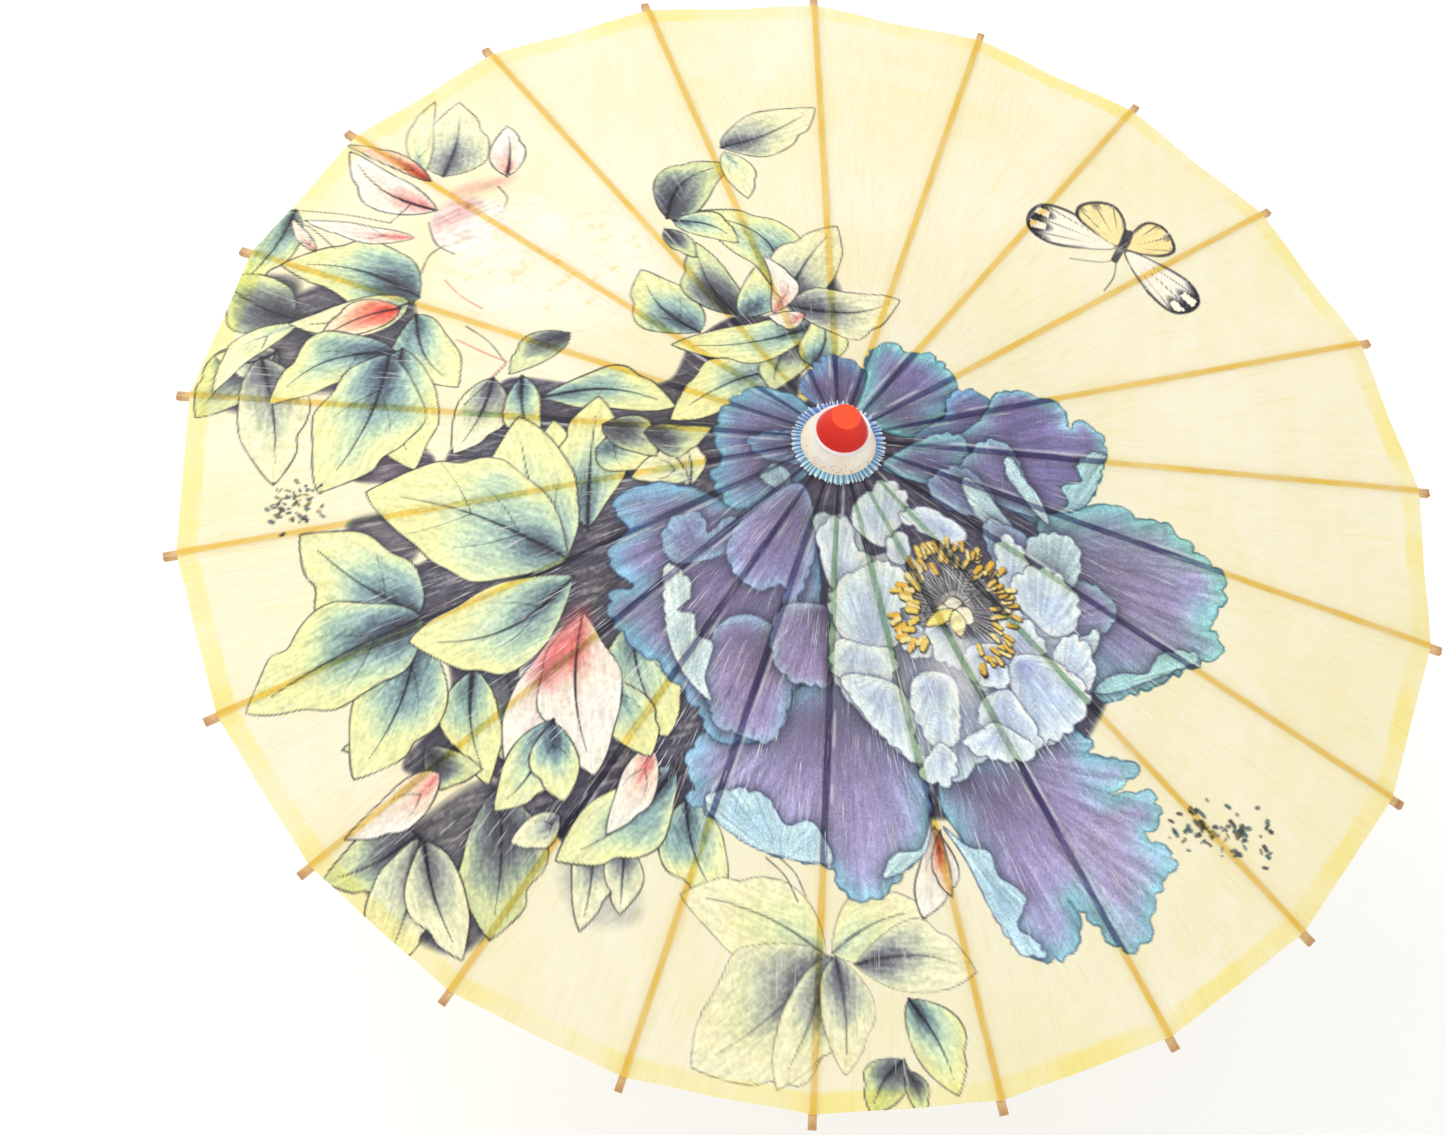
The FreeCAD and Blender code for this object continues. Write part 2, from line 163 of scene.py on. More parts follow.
def line_distance(points, line, closed):
    """How far each point is from a line, and with closed, below zero outside it."""
    ends = np.roll(line, -1, 0) if closed else line[1:]
    starts = line if closed else line[:-1]
    starts, ends = starts.astype(np.float32), ends.astype(np.float32)
    run = ends - starts
    square = np.maximum((run * run).sum(1), 1e-6)
    rise = np.where(np.abs(run[:, 1]) < 1e-6, 1e-6, run[:, 1])
    found = np.empty(len(points), np.float32)
    share = np.empty(len(points), np.float32)
    step = max(1, 3_000_000 // len(starts))
    for k in range(0, len(points), step):
        p = points[k:k + step].astype(np.float32)
        dx = p[:, 0:1] - starts[None, :, 0]
        dy = p[:, 1:2] - starts[None, :, 1]
        h = np.clip((dx * run[:, 0] + dy * run[:, 1]) / square, 0, 1)
        d = (dx - h * run[:, 0]) ** 2 + (dy - h * run[:, 1]) ** 2
        best = d.argmin(1)
        rows = np.arange(len(p))
        found[k:k + step] = np.sqrt(d[rows, best])
        share[k:k + step] = (best + h[rows, best]) / len(starts)
        if closed:
            span = (starts[None, :, 1] > p[:, 1:2]) != (ends[None, :, 1] > p[:, 1:2])
            hit = span & (dx < run[:, 0] * dy / rise)
            found[k:k + step] *= np.where(hit.sum(1) % 2 == 1, 1, -1)
    return found, share


def ramp(t, stops):
    """Colours along a list of stops, evenly spaced from 0 to 1."""
    stops = np.array(stops, np.float32)
    places = np.linspace(0, 1, len(stops))
    return np.stack([np.interp(t, places, stops[:, i]) for i in range(3)], 1)


class Print:
    """The painted pattern at each point of the cloth: its colour, and how deeply it is dyed, from 0 to 1."""

    CELL = 15.0

    def __init__(self, x, y):
        self.at = np.stack([x, y], 1)
        self.colour = np.tile(np.array(CLOTH, np.float32), (len(x), 1))
        self.dye = np.zeros(len(x), np.float32)
        self.low = self.at.min(0)
        column, row = np.floor((self.at - self.low) / self.CELL).astype(int).T
        self.across = column.max() + 1
        cell = row * self.across + column
        self.order = np.argsort(cell, kind="stable")
        self.starts = np.searchsorted(cell[self.order], np.arange(self.across * (row.max() + 1) + 1))

    def pick(self, line, margin):
        """The points in the box round a line, found by the square cells that they lie in."""
        low, high = line.min(0) - margin, line.max(0) + margin
        i0, j0 = np.floor((low - self.low) / self.CELL).astype(int)
        i1, j1 = np.floor((high - self.low) / self.CELL).astype(int)
        i0, i1 = max(i0, 0), min(i1, self.across - 1)
        tall = (len(self.starts) - 1) // self.across
        if i0 > i1:
            return np.empty(0, int)
        spans = [self.order[self.starts[j * self.across + i0]:self.starts[j * self.across + i1 + 1]]
                 for j in range(max(j0, 0), min(j1, tall - 1) + 1)]
        if not spans:
            return np.empty(0, int)
        rows = np.concatenate(spans)
        at = self.at[rows]
        return rows[((at > low) & (at < high)).all(1)]

    def lay(self, rows, cover, colour, dye=None):
        """Lays a colour over some points, cover from 0 to 1."""
        cover = np.clip(cover, 0, 1)
        self.colour[rows] += (colour - self.colour[rows]) * cover[:, None]
        if dye is not None:
            self.dye[rows] += (dye - self.dye[rows]) * cover

    def ink(self, line, width, closed=False, colour=INK, strength=0.85, taper=False, dry=0.5):
        """A brushed line whose width and strength wander."""
        rows = self.pick(line, 3)
        if not len(rows):
            return
        at = self.at[rows]
        d, share = line_distance(at, line, closed)
        near = np.abs(d) < 4
        rows, at, d, share = rows[near], at[near], np.abs(d[near]), share[near]
        wide = width * (0.65 + 0.7 * grain(at[:, 0], at[:, 1], 17.0))
        if taper:
            wide = wide * np.clip(1.15 - share, 0.15, 1)
        worn = np.clip(1 - dry + 2 * dry * grain(at[:, 0] + 91, at[:, 1], 6.0), 0, 1)
        cover = np.clip((wide / 2 - d) / 0.8 + 0.5, 0, 1)
        self.lay(rows, cover * strength * worn, np.array(colour, np.float32))

    def wash(self, points, colour, cover=1.0, soft=1.0, dye=0.0, gap=2.5, mottle=1.0):
        """A plain patch of colour with a soft edge."""
        line = smooth(points, gap=gap)
        rows = self.pick(line, soft + 1)
        if not len(rows):
            return
        d, _ = line_distance(self.at[rows], line, True)
        at = self.at[rows]
        rough = grain(at[:, 0], at[:, 1], (16.0, 2.0), 0.5) * 0.6 + grain(at[:, 0], at[:, 1], 3.0) * 0.4
        rough = 1 + mottle * (0.5 * rough - 0.25)
        tone = np.array(colour, np.float32) * rough[:, None]
        self.lay(rows, cover * np.clip(d / soft + 0.5, 0, 1), np.minimum(tone, 255), dye)

    def shadow(self, rows, d, reach, strength):
        """A soft dark edge just outside a shape, on cloth that is already dyed."""
        out = d < 0
        cover = strength * np.exp(d[out] / reach) * np.clip(self.dye[rows[out]] * 1.4 - 0.1, 0, 1)
        self.lay(rows[out], cover, np.array((48, 44, 62), np.float32))

    def petal(self, points, root, inner, outer, rim=9.0, shade=(72, 66, 86), reach=55.0, wave=15.0,
              depth=4.0, edge=(64, 70, 112), width=0.9, dye=1.0, deep=0.85, cast=0.55):
        """A peony petal: shaded at its root, with a lighter, scalloped rim."""
        root = np.array(root, float)
        line = ruffled(smooth(points, gap=2.2), root, wave, depth)
        rows = self.pick(line, 9)
        if not len(rows):
            return
        d, _ = line_distance(self.at[rows], line, True)
        self.shadow(rows, d, 3.2, cast)
        keep = d > -1.5
        rows, d = rows[keep], d[keep]
        at = self.at[rows]
        out = at - root
        far = np.hypot(out[:, 0], out[:, 1])
        turn = np.arctan2(out[:, 1], out[:, 0])
        fibre = grain(turn * 60, far / 26, 1.0) * 0.35 + grain(turn * 22, far / 40, 1.0) * 0.3
        fibre = fibre + grain(at[:, 0], at[:, 1], 6.0) * 0.15 + grain(at[:, 0], at[:, 1], 1.5) * 0.2
        lumps = grain(at[:, 0] + 40, at[:, 1], 19.0)
        lit = np.exp(-(np.maximum(d, 0) / (rim * (0.45 + 0.9 * lumps))) ** 1.4)
        inner, outer, shade = (np.array(c, np.float32) for c in (inner, outer, shade))
        tone = inner + (outer - inner) * np.clip(lit * 1.15, 0, 1)[:, None]
        dark = np.clip(np.exp(-(far / reach) ** 1.7) * (0.45 + 1.1 * fibre), 0, 1) * deep * (1 - lit)
        tone = tone + (shade - tone) * dark[:, None]
        tone = tone * (0.7 + 0.6 * fibre)[:, None] + 40 * np.clip(fibre - 0.6, 0, 1)[:, None]
        self.lay(rows, d / 0.9 + 0.5, np.clip(tone, 0, 255), dye)
        self.ink(line, width, True, edge, 0.75)

    def leaf(self, base, tip, width, bend=0.0, tone="green", full=0.85, veins=1, line_width=0.9, dye=0.35,
             cover=1.0):
        """A pointed leaf, dark at its base and pale at its tip and margins, with a brushed midrib."""
        base, tip = np.array(base, float), np.array(tip, float)
        run = tip - base
        length = float(np.hypot(*run))
        across = np.array([-run[1], run[0]]) / length
        t = np.linspace(0, 1, max(10, int(length / 3)))[:, None]
        spine = base + run * t + across * (bend * np.sin(np.pi * t))
        half = width / 2 * np.sin(np.pi * t ** full) ** 0.85
        fading = np.minimum(1, 2.4 * (1 - t) + 0.3)
        wobble = 0.16 * (2 * grain(spine[:, 0:1], spine[:, 1:2], 22.0) - 1) * fading
        notch = 0.2 * np.exp(-((t - 0.68 - 0.1 * wobble) / 0.07) ** 2)
        left = spine + across * half * (1 + wobble - notch * (bend > 0))
        right = spine - across * half * (1 - wobble - notch * (bend <= 0))
        line = np.concatenate([left, right[-2:0:-1]])
        rows = self.pick(line, 9)
        if not len(rows):
            return
        d, _ = line_distance(self.at[rows], line, True)
        self.shadow(rows, d, 2.6, 0.7 * cover)
        keep = d > -1.5
        rows, d = rows[keep], d[keep]
        at = self.at[rows]
        along = (at - base) @ run / length ** 2
        fibre = grain(at[:, 0], at[:, 1], (8.0, 1.3), math.atan2(run[1], run[0])) * 0.5
        fibre = fibre + grain(at[:, 0], at[:, 1], 1.7) * 0.5
        margin = np.exp(-np.maximum(d, 0) / (0.14 * width))
        cloud = grain(at[:, 0] + 33, at[:, 1], 24.0) - 0.5
        rib, _ = line_distance(at, spine, False)
        rib = np.exp(-rib / (0.14 * width)) * (1 - along)
        t = along * 1.15 + 0.55 * margin - 0.32 * rib + (fibre - 0.5) * 0.2 + 0.25 * cloud + 0.06
        t = np.clip(t, 0, 1)
        tones = ramp(t, LEAF_TONES[tone]) * (0.88 + 0.24 * fibre)[:, None]
        self.lay(rows, (d / 0.9 + 0.5) * cover, np.clip(tones, 0, 255), dye * (1 - t * 0.8))
        self.ink(line, line_width, True, INK, 0.9 * cover)
        if veins:
            self.ink(spine[: int(len(spine) * 0.86)], 2.1, False, INK, 0.92 * cover, taper=True, dry=0.2)
        for side in (1, -1):
            for place in (0.25, 0.5)[: veins - 1]:
                k = int(place * len(spine))
                start = spine[k]
                end = start + run * 0.26 + across * side * float(half[k, 0]) * 0.7
                bow = (start + end) / 2 + across * side * 2
                self.ink(smooth([start, bow, end], False), 0.8, False, INK, 0.6 * cover, taper=True)


LEAF_TONES = {
    "green": [(62, 66, 78), (108, 132, 140), (178, 206, 188), (224, 238, 190), (242, 242, 178)],
    "dark": [(56, 54, 66), (74, 74, 86), (104, 108, 116), (160, 174, 158), (220, 228, 174)],
    "teal": [(58, 60, 76), (96, 116, 130), (156, 188, 184), (212, 230, 190), (240, 242, 182)],
    "pale": [(160, 180, 172), (212, 228, 194), (236, 242, 192), (246, 244, 192), (249, 244, 200)],
    "grey": [(72, 72, 84), (120, 122, 130), (186, 192, 178), (230, 233, 194), (246, 242, 204)],
    "red": [(206, 60, 50), (228, 100, 84), (240, 150, 124), (246, 200, 168), (248, 226, 196)],
    "pink": [(222, 110, 112), (242, 186, 174), (250, 228, 212), (252, 240, 226), (252, 246, 232)],
}
PLUM = (136, 126, 178)
BLUE = (146, 196, 216)
TEALBLUE = (128, 194, 204)
MIST = (176, 204, 222)
SLATE = (84, 80, 94)


def paint_ground(p):
    """Faint uneven toning of the plain cloth, and the dark ground that shows between the leaves."""
    x, y = p.at[:, 0], p.at[:, 1]
    tone = grain(x, y, 70.0) * 0.6 + grain(x, y, (34.0, 9.0), 1.5) * 0.4
    p.colour += (tone - 0.5)[:, None] * np.array((5, 6, 22), np.float32)
    p.wash([(-24, 40), (-22, 92), (-56, 106), (-88, 84), (-106, 52), (-150, 52), (-205, 62), (-212, 30),
            (-242, 6), (-232, -40), (-262, -70), (-300, -40), (-262, -100), (-240, -128), (-236, -165),
            (-262, -205), (-205, -212), (-150, -262), (-112, -238), (-80, -226), (-66, -190), (-60, -60),
            (-40, -20)], SLATE, soft=3, dye=1)
    p.wash([(-390, 66), (-382, 92), (-352, 104), (-340, 150), (-372, 154), (-366, 120), (-330, 128),
            (-286, 118), (-268, 96), (-296, 62), (-342, 62), (-352, 46), (-384, 54)], SLATE, 0.85, soft=7,
           dye=0.9)
    p.wash([(-352, 132), (-300, 152), (-268, 132), (-272, 96), (-330, 92)], (96, 94, 106), soft=5, dye=0.9)
    p.wash([(-284, 30), (-250, 6), (-268, -8), (-296, -8), (-306, 4)], (110, 96, 106), soft=3, dye=0.8)
    p.wash([(-300, -36), (-262, -36), (-262, -66), (-296, -56)], (120, 112, 118), soft=5, dye=0.8)
    p.wash([(-292, -262), (-262, -246), (-214, -214), (-182, -232), (-178, -262), (-200, -296), (-222, -318),
            (-252, -308)], (98, 96, 104), soft=6, dye=0.9)
    p.wash([(-150, -252), (-120, -276), (-118, -300), (-150, -300), (-166, -272)], (170, 174, 168), 0.45, 8,
           0.35)
    p.wash([(-30, 128), (0, 150), (10, 112), (-12, 100)], (104, 106, 112), soft=6, dye=0.8)


def paint_shade(p):
    """Brushed light and dark marks in the ground, which is everything deeply dyed so far."""
    x, y = p.at[:, 0], p.at[:, 1]
    marks = grain(x, y, (15.0, 2.2), 0.25) * 0.45 + grain(x, y, 21.0) * 0.35 + grain(x, y, 1.6) * 0.2
    deep = np.clip(p.dye, 0, 1)
    p.lay(slice(None), np.clip(marks * 3.4 - 1.75, 0, 0.7) * deep, np.array((176, 172, 172), np.float32))
    p.lay(slice(None), np.clip(1.1 - marks * 3.0, 0, 0.6) * deep, np.array((52, 48, 60), np.float32))


def paint_leaves(p):
    """The leaves and buds, from the back ones to the front ones."""
    # far left and upper left
    p.leaf((-344, 214), (-384, 146), 30, 6, "teal")
    p.leaf((-342, 122), (-392, 158), 46, 4, "dark", cover=0.9)
    p.leaf((-352, 98), (-402, 48), 44, -6, "dark")
    p.leaf((-352, 96), (-392, 96), 26, 8, "grey")
    p.leaf((-362, 92), (-350, -6), 46, 4, "grey")
    p.leaf((-340, 118), (-392, 66), 20, -10, "pale", veins=0, cover=0.8)
    p.leaf((-262, 132), (-352, 166), 54, -10, "teal", full=0.7)
    p.leaf((-268, 128), (-345, 118), 30, 6, "pale", full=0.7)
    p.leaf((-274, 124), (-326, 104), 26, -4, "red", full=0.8)
    p.leaf((-264, 118), (-236, 58), 40, -8, "teal")
    p.leaf((-248, 236), (-238, 306), 46, -4, "grey", full=0.75, cover=0.75)
    p.leaf((-262, 238), (-254, 308), 18, 6, "pale", veins=0, cover=0.6)
    p.leaf((-252, 206), (-310, 262), 30, 10, "pink")
    p.leaf((-256, 232), (-312, 268), 13, -4, "red", veins=0)
    p.leaf((-206, 236), (-206, 282), 24, -2, "pink")
    p.leaf((-266, 184), (-338, 204), 15, 3, "pink", veins=0, cover=0.8)
    p.leaf((-330, 176), (-346, 206), 9, 2, "pink", veins=0)
    # three-lobed leaf, upper left
    p.leaf((-276, 90), (-356, 54), 44, -14, "teal", full=0.75, veins=2)
    p.leaf((-272, 92), (-262, -2), 50, -8, "green", full=0.9, veins=2)
    p.leaf((-280, 88), (-322, -14), 66, 8, "teal", veins=2)
    # middle left, behind
    p.leaf((-166, 96), (-204, 66), 24, -6, "dark", veins=0)
    p.leaf((-184, 46), (-100, 32), 34, 10, "teal", full=1.1)
    p.leaf((-214, 64), (-238, 8), 34, 4, "grey", dye=0.8)
    p.leaf((-196, 64), (-186, 2), 24, -4, "teal")
    p.leaf((-160, -48), (-176, 28), 34, 6, "green", full=1.0, veins=0)
    p.leaf((-154, -52), (-148, 44), 44, 2, "green", full=1.05)
    p.leaf((-150, 4), (-116, -10), 40, 8, "green", veins=0)
    p.leaf((-92, -28), (-96, 6), 20, -3, "pale", full=1.1)
    p.leaf((-92, -22), (-128, -18), 24, -8, "pale", full=1.0, veins=0)
    p.leaf((-146, 22), (-112, -4), 26, 5, "dark", veins=0)
    p.leaf((-120, 14), (-78, 14), 24, -7, "dark", veins=0)
    # near the crown, left and above
    p.leaf((-24, 60), (-104, 22), 42, -8, "green", full=0.95)
    p.leaf((-18, 96), (-40, 40), 36, -5, "dark", dye=0.9)
    p.leaf((-6, 100), (-102, 82), 34, 9, "green", full=0.9)
    p.leaf((-84, 92), (-120, 148), 42, 8, "teal", veins=2)
    p.leaf((-14, 62), (-6, 112), 30, -6, "teal", full=0.8)
    p.leaf((-60, 106), (-84, 172), 34, 6, "dark")
    p.leaf((-56, 104), (-44, 152), 30, -8, "teal", veins=0)
    p.leaf((-28, 122), (-92, 200), 44, -26, "teal", full=0.95)
    p.leaf((-102, 194), (-56, 246), 40, 14, "dark", full=0.75)
    p.leaf((-98, 192), (-56, 172), 24, 7, "green")
    p.leaf((-104, 184), (-84, 158), 16, 0, "dark", veins=0)
    p.leaf((-62, 258), (-48, 214), 22, 4, "pale", veins=0, cover=0.7)
    p.leaf((-64, 262), (2, 306), 40, -4, "grey", cover=0.85)
    p.leaf((-28, 118), (10, 192), 44, 4, "grey", cover=0.85)
    p.leaf((-26, 116), (48, 128), 44, -10, "grey", cover=0.9)
    p.leaf((-36, 108), (-40, 160), 18, -10, "pink", veins=0)
    p.leaf((-16, 108), (-40, 106), 16, 6, "pink", veins=0)
    # lower left, behind
    p.leaf((-206, -128), (-196, -206), 50, 4, "dark", dye=0.9)
    p.leaf((-186, -126), (-176, -192), 36, 6, "grey", dye=0.9)
    p.leaf((-222, -142), (-210, -216), 36, -6, "green", full=0.8)
    p.leaf((-262, -168), (-300, -190), 22, 6, "dark", veins=0)
    p.leaf((-250, -192), (-214, -206), 26, -8, "dark", veins=0)
    p.leaf((-204, -216), (-206, -312), 52, 4, "dark", full=1.0, dye=0.8)
    p.leaf((-252, -246), (-308, -274), 38, 4, "dark")
    p.leaf((-250, -248), (-270, -330), 48, 4, "grey", dye=0.8)
    p.leaf((-248, -250), (-222, -324), 36, -4, "grey")
    p.leaf((-240, -208), (-296, -248), 26, 6, "pink", full=0.75, veins=0)
    p.leaf((-166, -236), (-196, -252), 22, 4, "grey", veins=0)
    p.leaf((-146, -246), (-152, -306), 26, 3, "grey", cover=0.8)
    p.leaf((-126, -252), (-128, -296), 24, 0, "grey", cover=0.8)
    p.leaf((-90, -226), (-66, -290), 40, -6, "teal", full=0.8, cover=0.9)
    p.leaf((-96, -206), (-168, -264), 46, 8, "teal", full=0.95)
    p.leaf((-112, -194), (-138, -248), 24, 4, "pink", full=0.8, veins=0)
    p.leaf((-126, -112), (-102, -188), 52, -6, "green", full=1.1, veins=2)
    p.leaf((-140, -150), (-112, -200), 32, 2, "green", full=1.1, veins=0)
    # the pale leaf with a red root
    p.leaf((-158, -112), (-200, -206), 44, 4, "pink", full=1.05, veins=0)
    p.leaf((-156, -108), (-146, -212), 52, -8, "pink", full=1.0)
    p.wash([(-154, -108), (-166, -112), (-186, -142), (-176, -156), (-160, -132)], (224, 92, 96), 0.75, 14,
           0.4)
    p.leaf((-172, -176), (-206, -232), 34, 6, "teal", full=0.95)
    p.leaf((-172, -178), (-164, -228), 30, -2, "teal", full=0.95, veins=0)
    # lower-left three-lobed leaf
    p.leaf((-256, -104), (-332, -44), 64, 4, "teal", full=0.8, veins=2)
    p.leaf((-256, -112), (-292, -210), 56, 8, "teal", full=0.95, veins=2)
    p.leaf((-254, -106), (-360, -164), 66, -4, "teal", full=0.8, veins=2)
    # the largest leaf
    p.leaf((-168, -74), (-198, 32), 58, 6, "green", full=1.0, veins=2)
    p.leaf((-166, -72), (-292, -16), 82, -8, "green", full=0.92, veins=3)
    p.leaf((-162, -84), (-262, -122), 58, 16, "green", full=1.0, veins=2)
    # bottom
    faint = {"cover": 0.55, "line_width": 0.6}
    p.leaf((2, -316), (62, -286), 44, 6, "pale", full=0.9, **faint)
    p.leaf((16, -322), (92, -322), 44, 8, "grey", full=1.05, **faint)
    p.leaf((50, -340), (82, -396), 34, 4, "green", full=0.9, cover=0.8)
    p.leaf((-2, -318), (-92, -284), 52, -8, "pale", **faint)
    p.leaf((0, -318), (-82, -386), 84, 6, "grey", full=0.9, **faint)
    p.leaf((2, -318), (-30, -398), 40, 3, "grey", full=0.9, **faint)
    p.leaf((4, -318), (12, -388), 34, 3, "grey", **faint)
    p.leaf((48, -376), (28, -410), 28, -4, "dark", cover=0.85)
    p.leaf((50, -382), (60, -410), 14, 3, "dark", veins=0, cover=0.8)
    p.leaf((64, -236), (58, -292), 26, 6, "pink", full=1.1, veins=0)
    p.leaf((68, -238), (76, -278), 11, -4, "red", full=1.2, veins=0)
    for start, end in (((-40, -260), (-20, -286)), ((-33, -259), (-15, -283)), ((-352, 210), (-318, 178)),
                       ((-348, 214), (-282, 198)), ((-282, 198), (-268, 214)), ((-232, 106), (-206, 74)),
                       ((-206, 74), (-232, 44)), ((-330, 246), (-346, 220))):
        mid = (np.array(start) + end) / 2 + (2, 2)
        p.ink(smooth([start, mid, end], False), 0.8, strength=0.7)


def paint_blooms(p):
    """The pale half-open flower and its bud at the upper left."""
    petals = (((-176, 128), 92, 66, 0.3), ((-216, 150), 58, 70, 1.2), ((-150, 172), 74, 56, 2.2),
              ((-196, 188), 66, 44, 0.6), ((-128, 134), 46, 52, 1.6), ((-226, 184), 40, 40, 0.1))
    for (x, y), wide, tall, turn in petals:
        around = [(x + wide / 2 * math.cos(a), y + tall / 2 * math.sin(a))
                  for a in (turn + k * math.pi / 4 for k in range(8))]
        p.wash(around, (253, 247, 236), 0.7, 26, 0, mottle=0.05)
        p.ink(smooth(around), 0.9, True, (236, 206, 170), 0.3)
    x, y = p.at[:, 0], p.at[:, 1]
    glow = np.clip(1.4 - np.hypot((x + 172) / 74, (y - 152) / 52), 0, 1)
    fleck = np.clip(grain(x, y, (13.0, 5.0), 0.6) * 2.6 - 1.5, 0, 1) * np.clip(grain(x, y, 3.0) * 3 - 1.2, 0,
                                                                               1)
    p.lay(slice(None), glow * fleck * 0.6, np.array((246, 200, 120), np.float32))
    p.wash([(-256, 196), (-240, 214), (-216, 214), (-208, 196), (-222, 176), (-246, 172)], (252, 240, 232),
           0.9, 3, 0.1)
    p.wash([(-252, 190), (-244, 210), (-226, 214), (-234, 196)], (236, 146, 150), 0.5, 14, 0.15)
    p.wash([(-240, 218), (-214, 224), (-200, 236), (-222, 232), (-238, 226)], (236, 150, 138), 0.45, 6, 0.2)
    for line, tone in ((((-257, 196), (-252, 178), (-240, 168)), (70, 60, 70)),
                       (((-246, 146), (-236, 132), (-222, 120)), (196, 110, 96)),
                       (((-238, 96), (-220, 84), (-206, 76)), (220, 120, 110)),
                       (((-206, 76), (-216, 64), (-232, 46)), (220, 120, 110)),
                       (((-262, 150), (-256, 168), (-246, 176)), (110, 90, 90)),
                       (((-212, 226), (-206, 216), (-208, 206)), (70, 60, 70))):
        p.ink(smooth(line, False), 1.1, colour=tone, strength=0.8)


